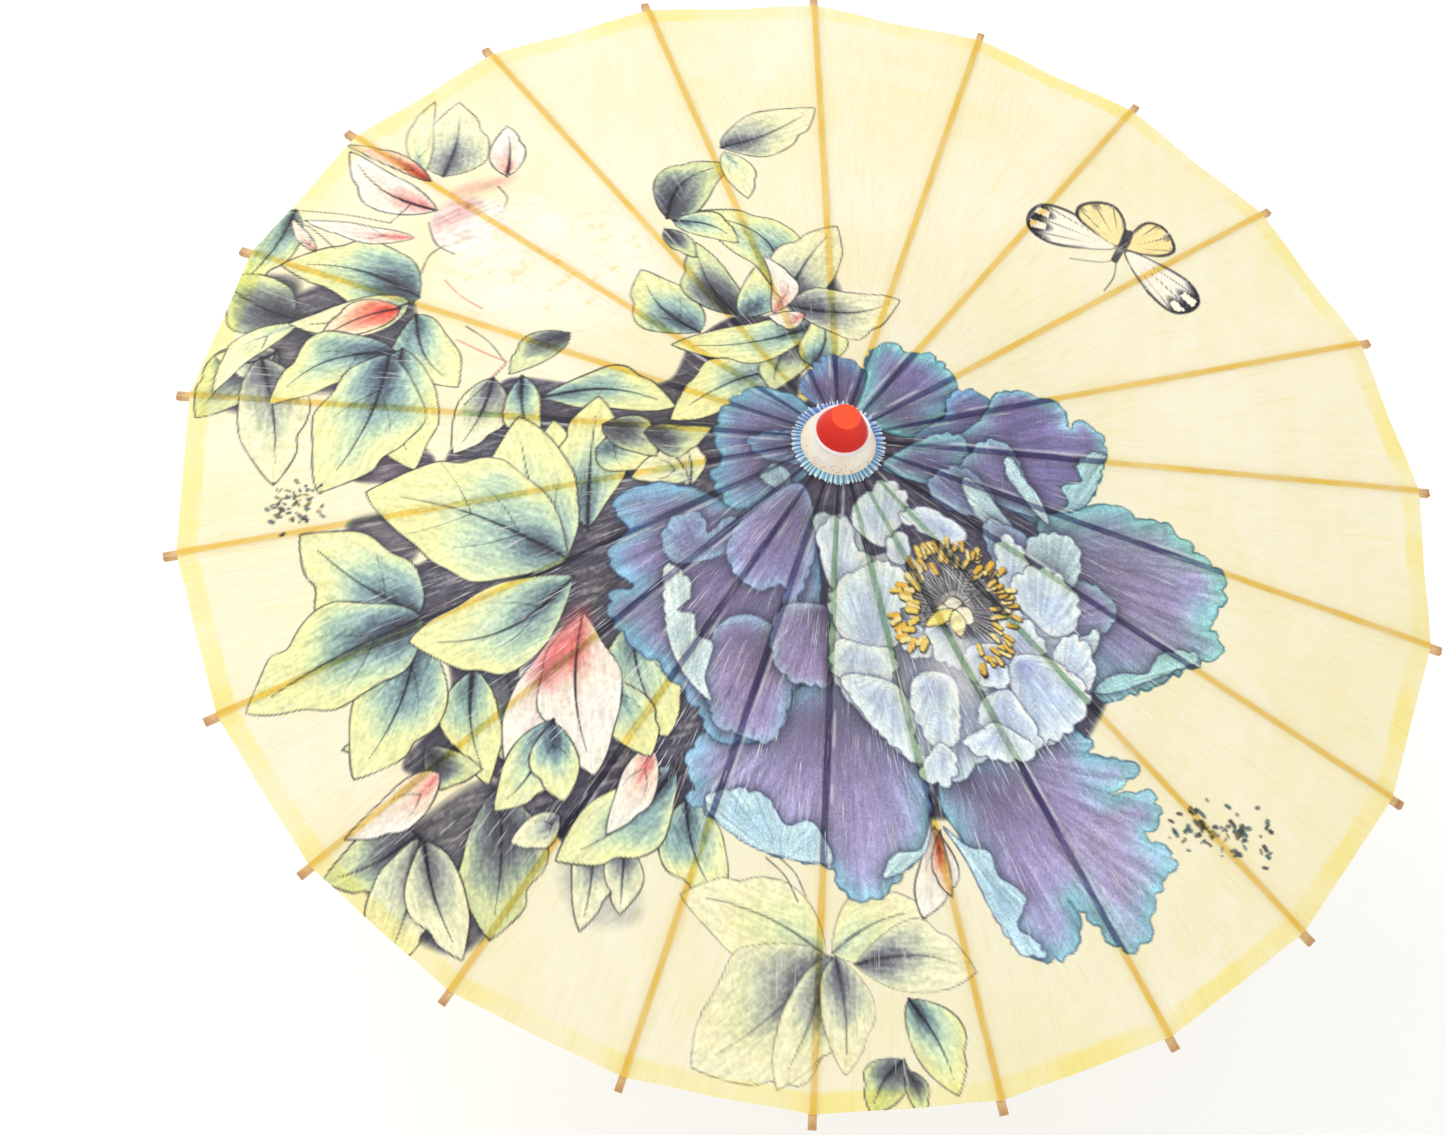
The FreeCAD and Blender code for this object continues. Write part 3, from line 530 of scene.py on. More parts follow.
def paint_peony(p):
    """The large peony, from its outer petals to its pale cup and stamens."""
    p.wash([(-20, 30), (30, 60), (100, 40), (150, 10), (160, -60), (180, -130), (140, -200), (80, -230),
            (-60, -220), (-84, -160), (-90, -60), (-60, -10)], (88, 84, 102), soft=4, dye=1)
    p.petal([(8, 18), (-10, 26), (-22, 42), (-14, 60), (-2, 72), (14, 66), (22, 54), (22, 30)],
            (4, 0), PLUM, (116, 154, 198), wave=13)
    p.petal([(14, 18), (20, 50), (24, 76), (40, 87), (52, 80), (64, 83), (76, 72), (80, 58), (70, 34),
             (50, 12)], (6, -2), PLUM, TEALBLUE, rim=11, edge=(30, 84, 100), width=1.2)
    p.petal([(50, 10), (72, 34), (76, 50), (92, 58), (106, 50), (112, 34), (90, 8)],
            (20, -4), PLUM, (124, 166, 204), edge=(30, 70, 100))
    p.petal([(70, 4), (96, 36), (108, 58), (124, 64), (142, 62), (154, 58), (156, 44), (168, 50), (180, 42),
             (180, 24), (172, 0), (160, -18), (144, -36), (104, -20)], (30, -14), PLUM, BLUE, rim=8, wave=16,
            edge=(30, 76, 100), width=1.2, reach=75)
    p.petal([(180, 28), (162, 18), (164, 4), (150, -2), (154, -14), (144, -24), (144, -36), (158, -24),
             (172, -2)], (146, -36), MIST, (170, 214, 220), wave=9, depth=3, deep=0.1, edge=(30, 76, 100))
    p.petal([(132, -34), (156, -20), (172, -12), (188, -8), (204, -16), (218, -14), (232, -22), (244, -34),
             (258, -44), (258, -66), (248, -80), (256, -94), (244, -106), (214, -124), (190, -138),
             (168, -140), (154, -90)], (110, -60), (166, 158, 206), (150, 208, 214), rim=15, wave=17,
            depth=5, edge=(28, 80, 104), width=1.3, reach=80)
    p.petal([(168, -140), (182, -138), (206, -126), (240, -106), (224, -104), (212, -110), (204, -122),
             (188, -124), (176, -130)], (168, -140), (150, 206, 214), (176, 220, 224), wave=9, depth=3,
            deep=0.1)
    p.petal([(70, -196), (100, -188), (142, -166), (166, -172), (164, -180), (182, -182), (196, -186),
             (180, -204), (204, -200), (210, -216), (200, -228), (220, -240), (206, -266), (202, -290),
             (186, -300), (166, -284), (150, -274), (158, -290), (146, -308), (124, -306), (106, -286),
             (84, -246), (68, -222)], (78, -186), (178, 166, 214), (150, 200, 220), rim=14, depth=5,
            edge=(40, 84, 112), width=1.2, reach=62)
    p.petal([(70, -236), (86, -246), (100, -248), (106, -262), (122, -272), (120, -284), (118, -292),
             (136, -306), (122, -308), (104, -288), (84, -254)], (72, -236), (168, 204, 224),
            (190, 222, 234), wave=10, depth=3, deep=0.1)
    p.petal([(-60, -176), (-82, -188), (-90, -204), (-84, -218), (-88, -226), (-66, -240), (-32, -258),
             (0, -264), (8, -278), (26, -282), (44, -266), (60, -238), (58, -204), (44, -168), (0, -150)],
            (4, -140), (182, 172, 220), (150, 196, 222), rim=12, wave=16, edge=(52, 84, 112), width=1.1,
            reach=70)
    p.petal([(-78, -226), (-58, -220), (-40, -224), (-28, -240), (-12, -238), (0, -262), (-36, -258),
             (-62, -246)], (-30, -262), (176, 214, 232), (196, 226, 236), wave=12, depth=3, deep=0.05)
    p.petal([(34, -268), (40, -254), (56, -250), (62, -232), (60, -250), (48, -262)],
            (60, -240), (170, 210, 226), (196, 226, 232), wave=9, depth=2, deep=0.05)
    # left side
    p.petal([(-30, -30), (-64, -40), (-92, -28), (-118, -24), (-138, -36), (-130, -52), (-140, -72),
             (-126, -92), (-140, -100), (-130, -124), (-108, -142), (-84, -170), (-74, -186), (-50, -190),
             (-26, -160), (-10, -90)], (4, -10), (154, 144, 192), (136, 184, 216), rim=12, wave=19, depth=5,
            edge=(46, 74, 112), width=1.2, reach=105)
    p.petal([(-16, 20), (-30, 38), (-54, 42), (-70, 28), (-76, 8), (-70, -8), (-78, -22), (-62, -44),
             (-38, -34), (-16, -18)], (4, 0), (142, 134, 188), (126, 180, 210), rim=12, edge=(44, 80, 112),
            width=1.1)
    p.petal([(-18, -16), (-44, -10), (-56, 2), (-40, 8), (-20, 4)], (-4, -4), (126, 124, 174),
            (124, 158, 192), wave=11)
    p.petal([(-34, -34), (-48, -24), (-42, -16), (-32, -20), (-30, -28)], (-30, -36), (150, 176, 200),
            (170, 204, 214), wave=8, depth=2, deep=0.2)
    p.petal([(-100, -78), (-108, -60), (-98, -46), (-84, -48), (-80, -60), (-68, -50), (-60, -58),
             (-72, -74)], (-78, -88), (150, 150, 200), (156, 186, 216), wave=12, depth=3, deep=0.4)
    p.petal([(-22, -30), (-48, -40), (-66, -62), (-64, -84), (-46, -96), (-34, -92), (-30, -110), (-14, -70)],
            (-8, -20), (158, 148, 200), (156, 178, 216), rim=7, wave=14, depth=3, reach=46)
    p.petal([(-52, -112), (-74, -120), (-80, -150), (-72, -180), (-56, -186), (-40, -190), (-28, -166),
             (-30, -130)], (-30, -112), (170, 154, 204), (162, 186, 216), rim=8, wave=13, depth=3, reach=40)
    p.petal([(-16, -104), (-34, -108), (-40, -128), (-32, -148), (-14, -154), (2, -150), (0, -112)],
            (-6, -96), (162, 148, 198), (176, 190, 218), rim=6, wave=12, depth=3, reach=26)
    p.petal([(-106, -82), (-96, -84), (-90, -98), (-98, -108), (-88, -112), (-86, -124), (-76, -130),
             (-78, -142), (-80, -152), (-76, -166), (-94, -148), (-104, -122)], (-90, -160), (200, 228, 234),
            (222, 240, 240), wave=10, depth=3, deep=0.15)
    # around the crown, right
    p.petal([(28, -14), (60, 14), (80, 20), (86, 10), (80, -2), (88, -14), (64, -20)],
            (16, -10), (138, 130, 184), (146, 200, 212), wave=12, depth=3)
    p.petal([(80, -14), (84, 2), (96, 18), (108, 22), (118, 14), (124, 0), (134, -26), (110, -26)],
            (108, -40), (140, 134, 184), (156, 198, 214), rim=6, wave=12, depth=3, reach=30)
    p.petal([(112, 0), (114, 12), (124, -2), (134, -14), (140, -32), (126, -20)],
            (140, -34), (170, 210, 220), (196, 224, 228), wave=9, depth=2, deep=0.2)
    p.petal([(60, -18), (76, -4), (92, -8), (104, -24), (88, -36), (66, -32)],
            (110, -44), (128, 126, 172), (146, 176, 206), wave=11, depth=3, reach=30)
    p.petal([(82, -12), (96, -16), (108, -30), (124, -48), (108, -46), (90, -34)],
            (124, -50), (180, 218, 224), (204, 230, 232), wave=10, depth=2, deep=0.2)
    p.petal([(96, -40), (120, -42), (146, -66), (172, -70), (184, -84), (174, -100), (150, -110), (110, -80)],
            (110, -110), (158, 148, 194), (160, 190, 212), rim=7, wave=13, depth=3, reach=30)
    p.petal([(124, -56), (128, -44), (144, -38), (158, -42), (160, -60), (152, -76), (136, -72)],
            (138, -86), (176, 204, 216), (204, 228, 230), wave=11, depth=3, reach=26)


def paint_cup(p):
    """The peony's pale inner petals, with shadow between them, and its stamens."""
    p.petal([(-14, -52), (4, -50), (12, -58), (20, -72), (40, -68), (46, -84), (60, -110), (100, -112),
             (120, -96), (156, -108), (170, -100), (164, -140), (150, -166), (120, -188), (98, -190),
             (76, -208), (54, -200), (28, -180), (0, -150), (-4, -110), (-6, -80)], (60, -120),
            (186, 200, 226), (224, 244, 244), wave=18, reach=40, deep=0.5, dye=0.6)
    petals = (([(-2, -96), (-12, -66), (-6, -52), (8, -52), (10, -66), (20, -74), (16, -88)], (0, -98)),
              ([(8, -50), (16, -36), (30, -24), (42, -28), (44, -42), (36, -56), (30, -66), (18, -62)],
               (26, -74)), ([(32, -72), (34, -58), (44, -58), (46, -68), (42, -76)], (40, -80)),
              ([(40, -44), (54, -38), (70, -40), (84, -50), (74, -58), (56, -54)], (70, -64)),
              ([(104, -56), (112, -46), (122, -56), (126, -72), (118, -86), (106, -80)], (112, -96)),
              ([(116, -74), (130, -64), (148, -68), (158, -82), (156, -100), (142, -108), (128, -100),
                (116, -88)], (130, -118)), ([(106, -104), (116, -96), (128, -104), (136, -118), (124, -124),
                                             (110, -122)], (116, -130)),
              ([(140, -120), (150, -108), (160, -106), (168, -120), (166, -138), (152, -140)], (146, -146)),
              ([(0, -118), (-4, -100), (10, -84), (30, -76), (44, -84), (48, -98), (40, -104), (46, -116),
                (34, -130), (14, -132)], (24, -134)), ([(2, -126), (-2, -142), (10, -152), (28, -152),
                                                        (38, -142), (36, -130), (20, -128)], (18, -120)),
              ([(42, -118), (46, -130), (58, -132), (60, -120), (52, -112)], (52, -108)),
              ([(58, -112), (72, -110), (80, -118), (90, -114), (92, -128), (80, -136), (66, -132),
                (60, -122)], (76, -108)), ([(84, -138), (84, -124), (100, -118), (118, -122), (120, -132),
                                            (108, -142), (96, -148)], (102, -114)),
              ([(112, -130), (122, -122), (142, -124), (160, -136), (164, -148), (150, -168), (130, -176),
                (116, -156)], (118, -126)), ([(100, -150), (112, -146), (124, -160), (132, -178),
                                              (112, -184), (96, -176), (92, -160)], (108, -142)),
              ([(4, -150), (20, -146), (40, -152), (50, -168), (52, -186), (60, -200), (40, -190),
                (20, -172)], (36, -144)), ([(50, -146), (62, -140), (76, -144), (80, -160), (78, -180),
                                            (66, -186), (54, -174), (48, -160)], (66, -138)),
              ([(62, -190), (68, -184), (78, -192), (76, -206), (68, -210), (56, -204)], (68, -180)),
              ([(92, -176), (104, -168), (130, -182), (118, -190), (100, -190), (84, -184)], (110, -166)),
              ([(96, -132), (106, -126), (112, -138), (104, -146), (94, -144)], (104, -122)),)
    for points, root in petals:
        p.petal(points, root, (194, 214, 238), (234, 248, 252), shade=(132, 138, 190), reach=16,
                wave=13, edge=(70, 80, 124), deep=0.9, dye=0.42, cast=0.4)
    p.wash([(64, -118), (84, -118), (96, -140), (80, -156), (60, -140)], (250, 252, 252), 0.5, 16, 0.4)
    paint_stamens(p)


def paint_stamens(p):
    """A ring of yellow stamens on dark filaments, round a few pale carpels."""
    centre = np.array((76.0, -100.0))
    spread = np.random.RandomState(5)
    p.wash([(48, -100), (52, -76), (66, -62), (84, -58), (100, -72), (106, -96), (98, -114), (84, -118),
            (60, -110)], (86, 84, 96), 0.9, 7, 0.8)
    for k in range(46):
        turn = math.radians(-40 + 250 * (k + spread.rand() * 0.6) / 46)
        way = np.array((math.cos(turn), math.sin(turn)))
        p.ink(np.array([centre + way * 9, centre + way * (25 + 5 * spread.rand())]), 0.9,
              colour=(226, 228, 224), strength=0.8, dry=0.2)
        p.ink(np.array([centre + way * 12, centre + way * 27]) + (0.9, 0.5), 0.6, colour=(40, 38, 50),
              dry=0.2)
    for k in range(88):
        turn = math.radians(-62 + 292 * (k + spread.rand() * 0.5) / 88)
        way = np.array((math.cos(turn), math.sin(turn) * 1.08))
        place = centre + way * (24 + 14 * spread.rand())
        lean = turn + (spread.rand() - 0.5) * 0.9
        tip = place + 5.2 * np.array((math.cos(lean), math.sin(lean)))
        tone = [(246, 214, 104), (240, 190, 70), (250, 232, 160)][k % 3]
        p.ink(np.array([place, tip]) + (0.5, -0.7), 4.3, colour=(44, 40, 44), strength=1, dry=0.1)
        p.ink(np.array([place, tip]), 3.2, colour=tone, strength=1, dry=0.0)
    for tip, wide, tone in (((64, -108), 13, (248, 240, 206)), ((88, -106), 12, (250, 246, 216)),
                            ((74, -92), 11, (240, 236, 214)), ((58, -112), 8, (246, 222, 140)),
                            ((80, -116), 10, (248, 232, 176))):
        tip = np.array(tip, float)
        side = np.array((tip[1] - centre[1], centre[0] - tip[0])) / max(np.hypot(*(tip - centre)),
                                                                        1) * wide / 2
        mid = (tip + centre) / 2
        points = [centre, mid + side * 1.1, tip + side * 0.3, tip - side * 0.3, mid - side * 1.1]
        p.wash(points, tone, 1, 0.8, 0.2, gap=1.2)
        p.ink(smooth(points, gap=1.2), 0.8, True, strength=0.9)


def paint_butterfly(p):
    """A butterfly: four rounded wings with dark tips, veins and a slim body."""
    body = np.array((208.0, 208.0))
    wings = ((165, 66, 38, (253, 247, 226), 1.0), (112, 42, 36, (252, 234, 170), 0.45),
             (26, 42, 32, (252, 232, 164), 0.45), (-44, 64, 36, (253, 248, 232), 1.0))
    for degrees, length, width, tone, tipped in wings:
        turn = math.radians(degrees)
        way, side = np.array((math.cos(turn), math.sin(turn))), np.array((-math.sin(turn), math.cos(turn)))
        shape = [body + way * length * a + side * width * b for a,
                 b in ((0.06, 0), (0.4, 0.34), (0.74, 0.52), (0.97, 0.34), (1.0, -0.06), (0.86, -0.4),
                       (0.5, -0.4))]
        p.wash(shape, tone, 1, 0.9, 0.05, gap=1.5, mottle=0.15)
        outline = smooth(shape, gap=1.5)
        rows = p.pick(outline, 1)
        d, _ = line_distance(p.at[rows], outline, True)
        along = (p.at[rows] - body) @ way / length
        across = (p.at[rows] - body) @ side / width
        fan = np.abs(np.sin(np.arctan2(across, along * 1.4) * 11.0))
        dark = np.clip((along - 0.84 + 0.1 * tipped * fan) * 9 + tipped * 0.35, 0, 1) * tipped
        dark = np.maximum(dark, np.clip(1.7 - d / 1.5, 0, 1) * np.clip(along * 3 - 0.9, 0, 1))
        veins = np.clip((0.2 - fan) * 6, 0, 1) * np.clip(along * 3 - 0.8, 0, 1) * 0.75
        spots = (along > 0.8) * (fan > 0.72) * (d > 2.2) * tipped
        mark = np.where(spots > 0, 0, np.maximum(dark, veins))
        p.lay(rows, mark * (d > 0), np.array((42, 40, 52), np.float32), 0.5)
        p.ink(outline, 1.0, True, strength=0.8)
    p.ink(np.array([(202, 196), (206, 205), (211, 214), (215, 224)]), 6.0, colour=(50, 48, 60), dry=0.4)
    p.ink(smooth([(202, 196), (192, 192), (170, 191)], False), 0.7, strength=0.7)
    p.ink(smooth([(203, 194), (200, 180), (192, 166)], False), 0.8, strength=0.8)


def paint_marks(p):
    """Small flecks of ink, in two loose clusters."""
    spread = np.random.RandomState(3)
    for centre, wide, tall, count in (((-334, -22), 34, 40, 62), ((248, -218), 76, 34, 76)):
        for _ in range(count):
            at = np.array(centre) + (spread.rand(2) + spread.rand(2) - 1) * (wide * 0.6, tall * 0.6)
            tone = [(44, 44, 54), (60, 84, 96), (120, 100, 60)][int(spread.rand() * 2.4)]
            p.ink(np.array([at, at + (spread.rand(2) - 0.5) * 5]), 1.2 + 1.6 * spread.rand(), colour=tone,
                  dry=0.3)


LAYERS = (paint_ground, paint_shade, paint_blooms, paint_leaves, paint_peony, paint_cup, paint_butterfly,
          paint_marks)


def painted(x, y):
    """The print at plan points in metres, in the part's frame: linear colours, and how deep the dye is."""
    c, s = math.cos(PRINT_TURN), math.sin(PRINT_TURN)
    p = Print((x * c + y * s) / MM, (y * c - x * s) / MM)
    for layer in LAYERS:
        layer(p)
    shown = np.clip(p.colour, 0, 255) / 255
    linear = np.where(shown <= 0.04045, shown / 12.92, ((shown + 0.055) / 1.055) ** 2.4)
    return linear.astype(np.float32), np.clip(p.dye, 0, 1)


# --- the cloth ---------------------------------------------------------------------------------------

CANOPY_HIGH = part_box("canopy")[1]
MOUTH = 0.0245
HEM = CANOPY_HIGH.x
SAG = 0.002
ROW = 0.0011
SEAM_BLEND = 0.004
HEM_BAND = (0.0145, 0.0105)
BAND_EDGE = 0.0011


def cloth_top(corner):
    """The height of the cloth on the level ring whose corners are this far from the axis."""
    return CANOPY_HIGH.z - (corner - MOUTH) * SLOPE


def cloth_point(corner, side):
    """A point of a gore as (along the rib, across it, height). side is -1 to 1 from seam to seam."""
    wide = np.abs(side)
    along = corner / (1 + wide * HALF_TAN ** 2)
    across = side * along * HALF_TAN
    t = np.clip((wide - 0.35) / 0.65, 0, 1)
    sag = SAG * (corner / HEM) ** 2 * t * t * (3 - 2 * t)
    return along, across, cloth_top(corner) - sag


def cloth_normal(corner, side):
    """The upward normal there, in (along, across, up). A seam's two sides agree, so it doesn't show."""
    nudge = 1e-4
    a0, c0, z0 = cloth_point(corner - nudge, side)
    a1, c1, z1 = cloth_point(corner + nudge, side)
    soft = np.clip(np.abs(side) * corner * HALF_TAN / SEAM_BLEND, 0, 1) * np.sign(side)
    down = np.array([a1 - a0, c1 - c0, z1 - z0])
    _, d0, y0 = cloth_point(corner, side - np.sign(side) * 0.01)
    _, d1, y1 = cloth_point(corner, side)
    edge = 1 - np.clip((np.abs(side) - 0.9) / 0.1, 0, 1)
    dip = (y1 - y0) / np.maximum(np.abs(d1 - d0), 1e-9) * soft * edge
    crossing = np.array([np.zeros_like(dip), np.ones_like(dip), dip])
    normal = np.cross(down.T, crossing.T)
    normal *= np.sign(normal[:, 2:3])
    return normal / np.linalg.norm(normal, axis=1)[:, None]


def gore_rows():
    """The rings of a gore as (corner distance, columns), twice as many columns each time it gets wide."""
    rows, corner = [], MOUTH
    while corner < HEM:
        columns = 12
        while 2 * corner * HALF_TAN / columns > ROW * 1.12:
            columns *= 2
        rows.append((corner, columns))
        corner += ROW
    rows.append((HEM, rows[-1][1]))
    return rows


def gore_mesh():
    """One gore's points as (corner distance, side), and its faces, wound to face up."""
    corners, sides, faces, first = [], [], [], []
    rows = gore_rows()
    for corner, columns in rows:
        first.append(sum(len(c) for c in corners))
        corners.append(np.full(columns + 1, corner))
        sides.append(np.linspace(-1, 1, columns + 1))
    for k in range(len(rows) - 1):
        inner, outer = first[k], first[k + 1]
        if rows[k][1] == rows[k + 1][1]:
            faces += [(inner + j, outer + j, outer + j + 1, inner + j + 1) for j in range(rows[k][1])]
            continue
        for j in range(rows[k][1]):
            a, b, f = inner + j, inner + j + 1, outer + 2 * j
            faces += [(a, f, f + 1), (a, f + 1, b), (b, f + 1, f + 2)]
    return np.concatenate(corners), np.concatenate(sides), faces


def put_attribute(mesh, name, kind, values):
    """Stores values on a mesh's points."""
    key = {"FLOAT_COLOR": "color", "FLOAT_VECTOR": "vector", "FLOAT": "value"}[kind]
    mesh.attributes.new(name, kind, "POINT").data.foreach_set(key,
                                                              np.ascontiguousarray(values,
                                                                                   np.float32).ravel())


def new_piece(name, points, faces, body, material):
    """A smooth-shaded mesh piece that rides on a body."""
    mesh = bpy.data.meshes.new(name)
    mesh.from_pydata(points.tolist(), [], faces)
    mesh.shade_smooth()
    mesh.materials.append(material)
    piece = bpy.data.objects.new(name, mesh)
    bpy.context.scene.collection.objects.link(piece)
    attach(piece, body)
    return piece


def make_canopy(material):
    """The canopy as one surface, cut midway between the ribs so that each gore folds with its rib."""
    corner, side, faces = gore_mesh()
    along, across, height = cloth_point(corner, side)
    normal = cloth_normal(corner, side)
    turns = [rib_angle(rib) for rib in RIBS]
    x = [along * math.cos(a) - across * math.sin(a) for a in turns]
    y = [along * math.sin(a) + across * math.cos(a) for a in turns]
    colours, dye = painted(np.concatenate(x), np.concatenate(y))
    count = len(corner)
    for k, rib in enumerate(RIBS):
        c, s = math.cos(turns[k]), math.sin(turns[k])
        rows = slice(k * count, (k + 1) * count)
        gore = new_piece(rib.replace("rib", "gore"), np.stack([x[k], y[k], height], 1), faces, rib, material)
        mesh = gore.data
        put_attribute(mesh, "print", "FLOAT_COLOR", np.column_stack([colours[rows], dye[rows]]))
        put_attribute(mesh, "plan", "FLOAT_VECTOR", np.stack([x[k], y[k], corner], 1))
        put_attribute(mesh, "bar", "FLOAT_VECTOR", np.stack([across, along, np.full(count, float(k))], 1))
        out, over, up = normal.T
        turned = np.stack([out * c - over * s, out * s + over * c, up], 1)
        mesh.normals_split_custom_set_from_vertices(turned.tolist())
        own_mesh(gore)
        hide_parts("canopy")


RUFFLE_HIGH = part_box("canopy_ruffle")[1]
RUFFLE_MOUTH = 0.0238
RUFFLE_POINTS = (960, 9)


def make_ruffle(material):
    """The gathered strip round the collar's foot: cloth folded double, its fold outwards, in small pleats."""
    inner, outer = RUFFLE_MOUTH, RUFFLE_HIGH.x
    columns, across = RUFFLE_POINTS
    turn = np.arange(columns) * 2 * math.pi / columns
    ring = 400 + 400 * np.cos(turn), 400 + 400 * np.sin(turn)
    wander = grain(*ring, 120.0)
    pleat = np.sin(58 * turn + 9 * wander) + 0.4 * np.sin(97 * turn + 14 * wander)
    jag = grain(ring[0] * 3, ring[1] * 3, 26.0) - 0.5
    # painted shade: the colour follows the pleats, lighter on their ridges and darker in their hollows
    low = np.clip(0.5 + 0.5 * pleat, 0, 1)
    side = 0.5 + 0.5 * np.cos(turn - PRINT_TURN + math.radians(100))
    deep = np.array((58, 74, 162)) + side[:, None] * np.array((36, 74, 14))
    light = np.array((140, 184, 232)) + side[:, None] * np.array((50, 44, 4))
    points, colours = [], []
    for layer in (1, -1):
        for j in range(across):
            t = j / (across - 1) if layer == 1 else 1 - (j + 0.5) / across
            reach = outer + 0.0002 + 0.0022 * jag + 0.0006 * pleat
            radius = inner + (reach - inner) * t
            swell = 0.00022 * layer * math.sin(math.pi * min(t * 1.02, 1)) ** 0.5
            middle = RUFFLE_HIGH.z - 0.00085 - (radius - 0.0243) * SLOPE
            height = middle + swell + pleat * (0.0001 + 0.0007 * t) + 0.0008 * t * (grain(*ring, 33.0) - 0.3)
            points.append(np.stack([radius * np.cos(turn), radius * np.sin(turn), height], 1))
            tone = deep + (light - deep) * low[:, None]
            # the white towards the fold lies only on the ridges: partly the cloth's own white edge, partly
            # painted highlight
            white = np.clip((t - 0.35) * 1.9, 0, 1) * low * grain(ring[0] * 5, ring[1] * 5, 30.0)
            tone = tone + (250 - tone) * np.clip(white * 1.6, 0, 1)[:, None]
            colours.append((tone / 255) ** 2.2)
    rows = len(points)
    faces = [(a + k, a + columns + k, a + columns + (k + 1) % columns, a + (k + 1) % columns)
             for a in range(0, (rows - 1) * columns, columns) for k in range(columns)]
    piece = new_piece("ruffle", np.concatenate(points), faces, "root", material)
    shown = np.concatenate(colours)
    put_attribute(piece.data, "print", "FLOAT_COLOR", np.column_stack([shown, np.ones(len(shown))]))
    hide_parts("canopy_ruffle")


# --- materials ---------------------------------------------------------------------------------------

class Paint:
    """A material and short ways to build its nodes."""

    def __init__(self, name):
        self.material = bpy.data.materials.new(name)
        self.material.use_nodes = True
        self.tree = self.material.node_tree
        self.tree.nodes.clear()
        self.output = self.tree.nodes.new("ShaderNodeOutputMaterial")

    def add(self, kind, out=0, settings=None, **inputs):
        """A new node with its inputs set or linked. Returns one of its outputs."""
        node = self.tree.nodes.new("ShaderNode" + kind)
        for key, value in (settings or {}).items():
            setattr(node, key, value)
        for key, value in inputs.items():
            numbered = key[0] == "i" and key[1:].isdigit()
            socket = node.inputs[int(key[1:]) if numbered else key.replace("_", " ")]
            if isinstance(value, bpy.types.NodeSocket):
                self.tree.links.new(value, socket)
            else:
                socket.default_value = value
        return node.outputs[out]

    def math(self, operation, a, b=0.0, c=0.0, clamp=False):
        return self.add("Math", settings={"operation": operation, "use_clamp": clamp}, i0=a, i1=b, i2=c)

    def times(self, a, b):
        return self.math("MULTIPLY", a, b)

    def plus(self, a, b):
        return self.math("ADD", a, b)

    def times_plus(self, a, b, c):
        """a times b, plus c."""
        return self.math("MULTIPLY_ADD", a, b, c)

    def vector(self, x, y, z):
        return self.add("CombineXYZ", X=x, Y=y, Z=z)

    def split(self, vector):
        """The x, y and z of a vector."""
        node = self.tree.nodes.new("ShaderNodeSeparateXYZ")
        self.tree.links.new(vector, node.inputs[0])
        return node.outputs

    def far(self, x, y):
        """How far a point is from the part's axis."""
        return self.math("SQRT", self.plus(self.times(x, x), self.times(y, y)))

    def shaded(self, colour, value):
        """A colour made lighter or darker by a value."""
        return self.mix(1.0, colour, self.add("CombineColor", Red=value, Green=value, Blue=value), "MULTIPLY")

    def tinted(self, share, colour, tint):
        """A colour with a share of itself multiplied by a tint."""
        return self.mix(share, colour, self.mix(1.0, colour, tint, "MULTIPLY"))

    def noise(self, place, scale, detail=3.0, rough=0.55, distortion=0.0):
        return self.add("TexNoise", Vector=place, Scale=scale, Detail=detail, Roughness=rough,
                        Distortion=distortion)

    def span(self, value, low, high, to_low=0.0, to_high=1.0, soft=True):
        """A value moved from one range to another and held within it."""
        settings = {"interpolation_type": "SMOOTHSTEP"} if soft else {}
        return self.add("MapRange", settings=settings, i0=value, i1=low, i2=high, i3=to_low, i4=to_high)

    def mix(self, share, a, b, blend="MIX"):
        """Two colours mixed."""
        node = self.tree.nodes.new("ShaderNodeMix")
        node.data_type, node.blend_type = "RGBA", blend
        for socket, value in ((node.inputs[0], share), (node.inputs[6], a), (node.inputs[7], b)):
            if isinstance(value, bpy.types.NodeSocket):
                self.tree.links.new(value, socket)
            else:
                socket.default_value = value if isinstance(value, float) else (*value, 1)[:4]
        return node.outputs[2]

    def bump(self, height, distance, strength=1.0, normal=None):
        inputs = {"Height": height, "Distance": distance, "Strength": strength}
        if normal is not None:
            inputs["Normal"] = normal
        return self.add("Bump", **inputs)

    def finish(self, shader):
        self.tree.links.new(shader, self.output.inputs["Surface"])
        return self.material


def rgb(red, green, blue):
    """A colour given as 0 to 255, as the renderer's linear numbers."""
    shares = (red / 255, green / 255, blue / 255)
    return tuple(v / 12.92 if v <= 0.04045 else ((v + 0.055) / 1.055) ** 2.4 for v in shares)


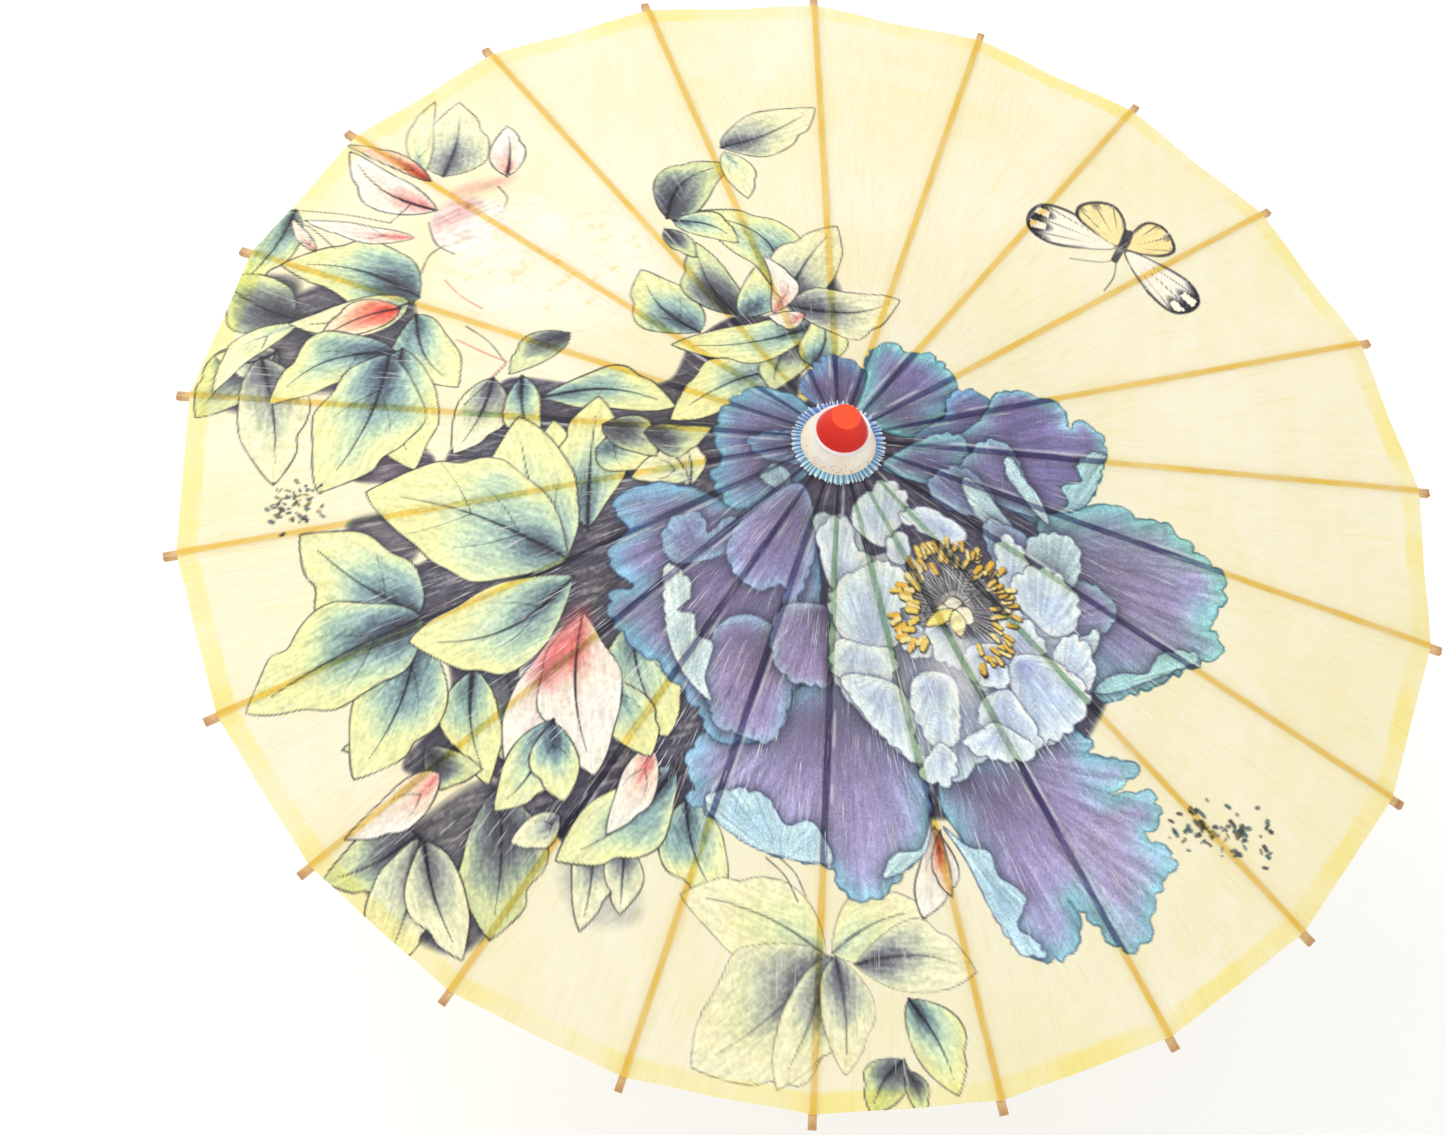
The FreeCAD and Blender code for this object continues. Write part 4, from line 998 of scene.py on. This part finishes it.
def canopy_material():
    """Oiled printed cloth: the print, the ribs' shadow through it, the doubled hem, brush marks, painted
    highlights and shade on its creases, and sheen.
    """
    m = Paint("canopy_cloth")
    ink = m.tree.nodes.new("ShaderNodeAttribute")
    ink.attribute_name = "print"
    colour, dye = ink.outputs["Color"], ink.outputs["Alpha"]
    plan = m.add("Attribute", 1, {"attribute_name": "plan"})
    bar = m.add("Attribute", 1, {"attribute_name": "bar"})
    x, y, corner = m.split(plan)
    across, along, number = m.split(bar)
    near = m.math("ABSOLUTE", across)
    flat = m.vector(x, y, 0.0)
    far = m.math("MAXIMUM", m.far(x, y), 0.001)
    ray_x, ray_y = m.math("DIVIDE", x, far), m.math("DIVIDE", y, far)
    # brush and fibre marks in the dye
    fibre = m.noise(m.vector(m.times(x, 3.2), m.times(y, 0.35), number), 260.0, 4.0, 0.65)
    blot = m.noise(flat, 140.0, 4.0, 0.6)
    worn = m.plus(m.times(m.span(fibre, 0.3, 0.7), 0.16), m.times(m.span(blot, 0.3, 0.7), 0.12))
    dim = m.times_plus(worn, m.times_plus(dye, 0.75, 0.08), m.times_plus(dye, -0.1, 1.0))
    colour = m.shaded(colour, dim)
    speck = m.span(m.noise(flat, 620.0, 4.0, 0.75), 0.3, 0.7, -0.3, 0.3, soft=False)
    speck = m.times_plus(speck, m.times_plus(dye, 0.85, 0.05), 1.0)
    colour = m.shaded(colour, speck)
    # fine creases that run out along the ribs, light and warm, and cloudy warmth in the oil
    fine = m.noise(m.vector(m.times(across, 9.0), m.times(along, 0.55), number), 42.0, 5.0, 0.68)
    cloud = m.noise(flat, 13.0, 4.0, 0.6, 0.6)
    warm = m.times(m.span(fine, 0.5, 0.66), m.span(cloud, 0.35, 0.65, 0.25, 1.0))
    colour = m.tinted(m.times(warm, 0.6), colour, (0.97, 0.90, 0.66))
    pale = m.times(m.span(fine, 0.44, 0.33), m.span(cloud, 0.4, 0.7, 1.0, 0.2))
    colour = m.mix(m.times(pale, 0.4), colour, (0.97, 0.95, 0.84))
    stain = m.span(m.noise(flat, 7.0, 4.0, 0.62, 1.2), 0.42, 0.62)
    colour = m.tinted(m.times(stain, 0.55), colour, (0.99, 0.955, 0.80))
    # the ribs seen through the cloth, painted in: their own colour, and the shade they make in the light that
    # comes through the cloth
    wide = m.math("MINIMUM", m.times_plus(far, 0.02, 0.0004), 0.0022)
    wobble = m.times(m.math("SUBTRACT", m.noise(plan, 60.0), 0.5), 0.0007)
    off = m.math("SUBTRACT", m.plus(wide, wobble), near)
    band = m.math("MULTIPLY_ADD", off, 1 / BAND_EDGE, 0.5, clamp=True)
    patch = m.span(m.noise(m.vector(m.times(across, 3.0), along, number), 22.0, 2.0), 0.25, 0.75, 0.66, 1.0)
    band = m.times(band, patch)
    gold = m.mix(1.0, colour, (0.98, 0.72, 0.17), "MULTIPLY")
    dusk = m.mix(1.0, colour, (0.17, 0.15, 0.36), "MULTIPLY")
    moss = m.mix(1.0, colour, (0.38, 0.57, 0.36), "MULTIPLY")
    behind = m.mix(m.span(dye, 0.08, 0.4, soft=False), gold, moss)
    behind = m.mix(m.span(dye, 0.6, 0.95, soft=False), behind, dusk)
    # painted shade: the band is darker along one edge of the rib
    edge = m.span(m.noise(plan, 35.0), 0.4, 0.6, 0.0, 0.55)
    edge = m.times(m.span(across, -0.0026, -0.0012, 1.0, 0.0), edge)
    behind = m.tinted(edge, behind, (0.80, 0.62, 0.35))
    colour = m.mix(band, colour, behind)
    # the ribs' soft painted edge shade, and a painted highlight along a fold beside them on the dyed print
    rib_edge_shade = m.span(near, 0.002, 0.009, 0.16, 0.0)
    colour = m.tinted(rib_edge_shade, colour, (0.95, 0.82, 0.45))
    # painted highlight: a pale streak along a fold beside the rib
    fold = m.times(m.span(across, 0.0024, 0.0034), m.span(across, 0.0036, 0.0056, 1.0, 0.0))
    fold = m.times(m.times(fold, m.span(m.noise(plan, 24.0), 0.42, 0.62)), dye)
    colour = m.mix(m.times(fold, 0.5), colour, (0.80, 0.84, 0.93))
    # the doubled hem
    hem = m.plus(corner, m.times(m.math("SUBTRACT", m.noise(flat, 45.0), 0.5), 0.006))
    hem = m.span(hem, HEM - HEM_BAND[0], HEM - HEM_BAND[1])
    strong = m.span(m.noise(flat, 11.0, 3.0), 0.35, 0.65, 0.2, 0.85)
    colour = m.tinted(m.times(hem, strong), colour, (1.0, 0.93, 0.42))
    # painted highlights and painted shade on creases that run out from the crown
    ray = m.vector(m.times(ray_x, 34.0), m.times(ray_y, 34.0), m.times(far, 9.0))
    streak = m.noise(ray, 4.0, 4.0, 0.7)
    turn = PRINT_TURN - math.radians(92)
    facing = m.plus(m.times(ray_x, math.cos(turn)), m.times(ray_y, math.sin(turn)))
    region = m.times(m.span(facing, -0.35, 0.8), m.span(far, 0.028, 0.07))
    region = m.times(region, m.span(far, 0.2, 0.36, 1.0, 0.1))
    lumps = m.span(m.noise(flat, 16.0, 2.0), 0.36, 0.6)
    # painted highlight: pale glossy streaks laid into the colour; below, painted shade in the creases on the
    # dyed print
    painted_crease_glint = m.times(m.times(m.span(streak, 0.575, 0.66), region), lumps)
    painted_crease_shade = m.times(m.times(m.span(streak, 0.42, 0.3), region), dye)
    colour = m.tinted(m.times(painted_crease_shade, 0.55), colour, (0.30, 0.27, 0.38))
    colour = m.mix(m.times(painted_crease_glint, 0.75), colour, (0.93, 0.95, 1.0))
    # relief: ribs under the cloth, radial pulls, soft wrinkles, weave
    ridge = m.times(m.span(near, 0.0016, 0.0042, 1.0, 0.0), 0.45)
    pulls = m.noise(m.vector(m.times(ray_x, 20.0), m.times(ray_y, 20.0),
                             m.times(far, 6.0)), 2.2, 4.0, 0.6)
    wrinkle = m.noise(flat, 26.0, 3.0, 0.5, 0.8)
    height = m.plus(m.plus(ridge, m.times(pulls, 0.9)), m.times(wrinkle, 0.9))
    pull = m.noise(m.vector(m.times(across, 5.0), along, number), 30.0, 4.0, 0.6, 0.6)
    height = m.times_plus(pull, 0.9, height)
    normal = m.bump(height, 0.0014, 0.7)
    weave = m.add("TexWave", 1, {"wave_type": "BANDS", "bands_direction": "X"}, Vector=flat, Scale=420.0,
                  Distortion=1.5, Detail=1.0)
    weft = m.add("TexWave", 1, {"wave_type": "BANDS", "bands_direction": "Y"}, Vector=flat, Scale=420.0,
                 Distortion=1.5, Detail=1.0)
    normal = m.bump(m.plus(weave, weft), 0.00006, 0.35, normal)
    rough = m.span(m.noise(flat, 30.0), 0.3, 0.7, 0.36, 0.52)
    skin = m.add("BsdfPrincipled", Base_Color=colour, Roughness=rough, Specular_IOR_Level=0.32, Normal=normal)
    glow = m.add("BsdfTranslucent", Color=colour, Normal=normal)
    return m.finish(m.add("MixShader", Fac=0.2, i1=skin, i2=glow))


def ruffle_material():
    """The gathered strip's dyed cloth, with the painted pleat shade that its points' colours carry."""
    m = Paint("ruffle_cloth")
    colour = m.add("Attribute", 0, {"attribute_name": "print"})
    place = m.add("TexCoord", 3)
    fleck = m.span(m.noise(place, 900.0, 3.0), 0.35, 0.65, 0.82, 1.05)
    colour = m.shaded(colour, fleck)
    normal = m.bump(m.noise(place, 1500.0, 2.0), 0.0001, 0.5)
    return m.finish(m.add("BsdfPrincipled", Base_Color=colour, Roughness=0.6, Sheen_Weight=0.3,
                          Normal=normal))


def along_bars(m):
    """Coordinates that follow whichever rib or strut a point is on: across, along and up, and its number."""
    x, y, z = m.split(m.add("TexCoord", 3))
    angle = m.math("ARCTAN2", y, x)
    number = m.math("ROUND", m.math("DIVIDE", angle, STEP))
    lean = m.math("SUBTRACT", angle, m.times(number, STEP))
    far = m.far(x, y)
    return m.times(far, m.math("SINE", lean)), m.times(far, m.math("COSINE", lean)), z, number


def bamboo_material():
    """Split bamboo: pale tan with fine fibres along it, darker nodes now and then, and browned ends."""
    m = Paint("bamboo")
    across, along, z, number = along_bars(m)
    tone = m.add("TexWhiteNoise", 0, {"noise_dimensions": "1D"}, W=number)
    drop = m.times_plus(along, SLOPE, z)
    fine = m.noise(m.vector(m.times(across, 26.0), along, m.times_plus(drop, 26.0, number)), 60.0, 5.0, 0.65)
    broad = m.noise(m.vector(m.times(across, 5.0), along, m.times_plus(drop, 5.0, number)), 18.0, 2.0)
    colour = m.mix(m.span(fine, 0.3, 0.72), rgb(196, 148, 92), rgb(238, 206, 152))
    colour = m.mix(m.times(m.span(broad, 0.35, 0.7), 0.5), colour, rgb(214, 168, 108))
    colour = m.mix(m.times(tone, 0.3), colour, rgb(226, 186, 126))
    place = m.math("FRACT", m.plus(m.times(along, 5.6), tone))
    joint = m.span(m.math("ABSOLUTE", m.math("SUBTRACT", place, 0.5)), 0.004, 0.012, 0.55, 0.0)
    colour = m.mix(joint, colour, rgb(128, 84, 46))
    tip = m.span(along, HEM + 0.001, HEM + 0.008)
    colour = m.mix(m.times(tip, 0.55), colour, rgb(176, 118, 66))
    normal = m.bump(fine, 0.00015, 0.5)
    return m.finish(m.add("BsdfPrincipled", Base_Color=colour, Roughness=m.span(fine, 0.3, 0.7, 0.5, 0.38),
                          Specular_IOR_Level=0.4, Normal=normal))


def wood_material(name, dark, light, ring, gloss, scale=1.0):
    """Turned wood with grain along the shaft's axis, pores and a little uneven polish."""
    m = Paint(name)
    x, y, z = m.split(m.add("TexCoord", 3))
    bent = m.times(z, 0.12)
    base = m.vector(m.plus(x, 0.013), m.plus(y, m.times(bent, 0.2)), bent)
    figure = m.noise(base, 210.0 * scale, 4.0, 0.6, 1.4)
    pores = m.noise(m.vector(x, y, m.times(z, 0.05)), 1900.0 * scale, 3.0, 0.6)
    colour = m.mix(m.span(figure, 0.34, 0.66), rgb(*dark), rgb(*light))
    rings = m.math("ABSOLUTE", m.math("SINE", m.times(figure, 42.0)))
    colour = m.mix(m.span(rings, 0.0, 0.35, 0.45, 0.0), colour, rgb(*ring))
    colour = m.mix(m.span(pores, 0.6, 0.72, 0.0, 0.5), colour, rgb(*ring))
    normal = m.bump(m.plus(m.times(pores, -0.6), m.times(rings, 0.2)), 0.00012, 0.5)
    rough = m.span(m.noise(base, 60.0), 0.3, 0.7, gloss, gloss + 0.14)
    return m.finish(m.add("BsdfPrincipled", Base_Color=colour, Roughness=rough, Specular_IOR_Level=0.45,
                          Normal=normal))


def thread_material():
    """Waxed cotton thread, its twist showing."""
    m = Paint("thread")
    place = m.add("TexCoord", 3)
    twist = m.add("TexWave", 1, {"wave_type": "BANDS", "bands_direction": "DIAGONAL"}, Vector=place,
                  Scale=900.0, Distortion=2.0, Detail=2.0)
    fuzz = m.noise(place, 2400.0, 3.0)
    colour = m.mix(m.span(twist, 0.2, 0.8), rgb(168, 142, 104), rgb(232, 220, 192))
    colour = m.mix(m.span(fuzz, 0.55, 0.75, 0.0, 0.4), colour, rgb(246, 240, 226))
    return m.finish(m.add("BsdfPrincipled", Base_Color=colour, Roughness=0.8, Sheen_Weight=0.3,
                          Normal=m.bump(twist, 0.0002, 0.7)))


def steel_material():
    """The spring catch: drawn steel with fine scratches."""
    m = Paint("catch_steel")
    place = m.add("TexCoord", 3)
    x, y, z = m.split(place)
    drawn = m.noise(m.vector(m.times(x, 8.0), m.times(y, 8.0), z), 400.0, 4.0, 0.7)
    spots = m.noise(place, 700.0, 3.0)
    colour = m.mix(m.span(drawn, 0.3, 0.7), rgb(150, 150, 152), rgb(196, 196, 194))
    colour = m.mix(m.span(spots, 0.62, 0.75, 0.0, 0.5), colour, rgb(120, 104, 88))
    rough = m.span(drawn, 0.3, 0.7, 0.26, 0.42)
    return m.finish(m.add("BsdfPrincipled", Base_Color=colour, Metallic=1.0, Roughness=rough,
                          Normal=m.bump(drawn, 0.00005, 0.4)))


COLLAR_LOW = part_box("collar")[0]
CAP_LOW, CAP_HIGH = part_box("finial_cap")


def collar_material():
    """Cream oiled cloth stretched over the collar, with small brown specks towards its foot."""
    m = Paint("collar_cloth")
    place = m.add("TexCoord", 3)
    x, y, z = m.split(place)
    angle = m.math("ARCTAN2", y, x)
    cloud = m.noise(place, 90.0, 3.0)
    colour = m.mix(m.span(cloud, 0.3, 0.7), rgb(250, 238, 214), rgb(254, 250, 238))
    low = m.span(z, COLLAR_LOW.z + 0.001, COLLAR_LOW.z + 0.008, 1.0, 0.15)
    specks = m.span(m.noise(place, 480.0, 4.0, 0.7), 0.53, 0.62)
    colour = m.mix(m.times(m.times(low, specks), 0.75), colour, rgb(206, 128, 70))
    colour = m.mix(m.times(low, 0.35), colour, rgb(240, 208, 168))
    pleat = m.math("SINE", m.times(angle, 44.0))
    gather = m.times(pleat, m.span(z, COLLAR_LOW.z, COLLAR_LOW.z + 0.009, 0.5, 0.1))
    weave = m.noise(place, 1800.0, 2.0)
    normal = m.bump(m.plus(gather, m.times(cloud, 0.8)), 0.0004, 0.5)
    normal = m.bump(weave, 0.00008, 0.4, normal)
    return m.finish(m.add("BsdfPrincipled", Base_Color=colour, Roughness=0.55, Specular_IOR_Level=0.35,
                          Normal=normal))


def plastic_material(name, body, shade, gloss):
    """Moulded plastic with a faint orange-peel skin, light dust and a few fine scuffs."""
    m = Paint(name)
    place = m.add("TexCoord", 3)
    cloud = m.noise(place, 70.0, 2.0)
    colour = m.mix(m.span(cloud, 0.3, 0.7, 0.0, 0.6), rgb(*body), rgb(*shade))
    scuff = m.noise(place, 420.0, 4.0, 0.7, 2.0)
    rough = m.plus(m.span(scuff, 0.58, 0.7, 0.0, 0.16), m.span(cloud, 0.3, 0.7, gloss, gloss + 0.05))
    normal = m.bump(m.noise(place, 260.0, 1.0), 0.0001, 0.25)
    return m.finish(m.add("BsdfPrincipled", Base_Color=colour, Roughness=rough, Specular_IOR_Level=0.5,
                          Coat_Weight=0.35, Coat_Roughness=0.12, Normal=normal))


def cap_material():
    """Glossy red lacquer, painted lighter towards the top and a lighter orange on the cap's flat top, as
    painted light from above.
    """
    m = Paint("red_plastic")
    place = m.add("TexCoord", 3)
    z = m.split(place)[2]
    cloud = m.noise(place, 80.0, 3.0)
    height = m.times_plus(cloud, 0.0004, z)
    # painted light: the colour gets lighter up the cap and turns a lighter orange on its flat top
    colour = m.mix(m.span(height, CAP_LOW.z, CAP_HIGH.z), rgb(214, 24, 12), rgb(236, 44, 22))
    colour = m.mix(m.span(height, CAP_HIGH.z - 0.0005, CAP_HIGH.z + 0.0001), colour, rgb(250, 84, 40))
    scuff = m.noise(place, 420.0, 4.0, 0.7, 2.0)
    rough = m.plus(m.span(scuff, 0.58, 0.7, 0.0, 0.2), m.span(cloud, 0.3, 0.7, 0.3, 0.36))
    normal = m.bump(m.noise(place, 260.0, 1.0), 0.0001, 0.25)
    return m.finish(m.add("BsdfPrincipled", Base_Color=colour, Roughness=rough, Specular_IOR_Level=0.35,
                          Normal=normal))


def dress_frame():
    """Gives every shown CAD node its material."""
    bamboo = bamboo_material()
    hub = wood_material("hub_wood", (206, 160, 104), (236, 202, 148), (158, 106, 60), 0.42, 0.8)
    thread = thread_material()
    steel = steel_material()
    looks = {
        "shaft": wood_material("shaft_wood", (198, 146, 88), (230, 188, 128), (150, 98, 52), 0.34),
        "grip": wood_material("grip_wood", (120, 66, 34), (166, 100, 56), (70, 36, 20), 0.26),
        "grip_butt": wood_material("butt_wood", (92, 50, 28), (124, 72, 40), (52, 28, 16), 0.3),
        "crown_hub": hub, "runner": hub, "crown_thread": thread, "runner_thread": thread,
        "catch_lever": steel, "catch_pin": steel, "collar": collar_material(),
        "finial_washer": plastic_material("white_plastic", (246, 244, 238), (252, 251, 247), 0.3),
        "finial_cap": cap_material(),
    }
    for name, node in frame["nodes"].items():
        look = looks.get(name, bamboo)
        for slot in node.material_slots or [None]:
            if slot is None:
                node.data.materials.append(look)
            else:
                slot.material = look


# --- the scene ---------------------------------------------------------------------------------------

LAMP_AIM = 0.45


def make_stage():
    """A plain pale floor under the object, even light all round, and two soft lamps."""
    low = CAD_BOX[0].z
    mesh = bpy.data.meshes.new("floor")
    size, rings, spokes = 14.0, 24, 64
    points = [(0, 0, low)]
    for r in range(1, rings + 1):
        points += [(size * (r / rings) ** 2 * math.cos(a), size * (r / rings) ** 2 * math.sin(a), low)
                   for a in (2 * math.pi * k / spokes for k in range(spokes))]
    faces = [(0, 1 + k, 1 + (k + 1) % spokes) for k in range(spokes)]
    for r in range(rings - 1):
        a, b = 1 + r * spokes, 1 + (r + 1) * spokes
        faces += [(a + k, b + k, b + (k + 1) % spokes, a + (k + 1) % spokes) for k in range(spokes)]
    mesh.from_pydata(points, [], faces)
    floor = bpy.data.objects.new("floor", mesh)
    bpy.context.scene.collection.objects.link(floor)
    m = Paint("floor")
    soft = m.span(m.noise(m.add("TexCoord", 3), 3.0), 0.3, 0.7, 0.93, 0.95)
    pale = m.add("CombineColor", Red=soft, Green=soft, Blue=soft)
    mesh.materials.append(m.finish(m.add("BsdfPrincipled", Base_Color=pale, Roughness=0.9,
                                         Specular_IOR_Level=0.1, Emission_Color=(1, 1, 1, 1),
                                         Emission_Strength=0.14)))
    world = bpy.data.worlds.new("studio")
    bpy.context.scene.world = world
    world.use_nodes = True
    sky = world.node_tree.nodes["Background"]
    sky.inputs["Color"].default_value = (1, 1, 1, 1)
    sky.inputs["Strength"].default_value = 0.84
    lamps = (("key", (-1.7, 1.2, 2.4), 1.6, 26), ("fill", (1.8, -1.6, 2.4), 2.6, 8))
    for name, place, size, power in lamps:
        data = bpy.data.lights.new(name, "AREA")
        data.shape, data.size, data.energy = "DISK", size, power
        lamp = bpy.data.objects.new(name, data)
        lamp.location = place
        lamp.rotation_mode = "QUATERNION"
        lamp.rotation_quaternion = (Vector(place) - Vector((0, 0, LAMP_AIM))).to_track_quat("Z", "Y")
        bpy.context.scene.collection.objects.link(lamp)


CAMERA_AZIMUTH = math.radians(-4.764)
CAMERA_ELEVATION = math.radians(60.2164)
CAMERA_ROLL = math.radians(15.5636)
CAMERA_PLACE = (-0.1397, -0.0665, 6.6903)
CAMERA_LENS = 107.73
TIP_PLANE = 0.45155


def make_camera():
    """The camera. Its place is in radii of the circle of the ribs' tips, from the circle's middle."""
    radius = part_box(RIBS[0])[1].x
    middle = Vector((0, 0, TIP_PLANE))
    a, e, r = CAMERA_AZIMUTH, CAMERA_ELEVATION, CAMERA_ROLL
    back = Vector((math.sin(a) * math.cos(e), -math.cos(a) * math.cos(e), math.sin(e)))
    level = Vector((math.cos(a), math.sin(a), 0))
    rise = back.cross(level)
    right, up = level * math.cos(r) + rise * math.sin(r), rise * math.cos(r) - level * math.sin(r)
    data = bpy.data.cameras.new("camera")
    data.lens, data.sensor_width = CAMERA_LENS, 36
    data.clip_start, data.clip_end = 0.05, 60
    camera = bpy.data.objects.new("camera", data)
    axes = Matrix((right, up, back)).transposed()
    camera.rotation_mode = "QUATERNION"
    camera.rotation_quaternion = axes.to_quaternion()
    place = right * CAMERA_PLACE[0] + up * CAMERA_PLACE[1] + back * CAMERA_PLACE[2]
    camera.location = middle + place * radius
    bpy.context.scene.collection.objects.link(camera)
    bpy.context.scene.camera = camera


make_camera()
make_stage()
dress_frame()
make_canopy(canopy_material())
make_ruffle(ruffle_material())
bpy.context.scene.view_settings.view_transform = "Standard"
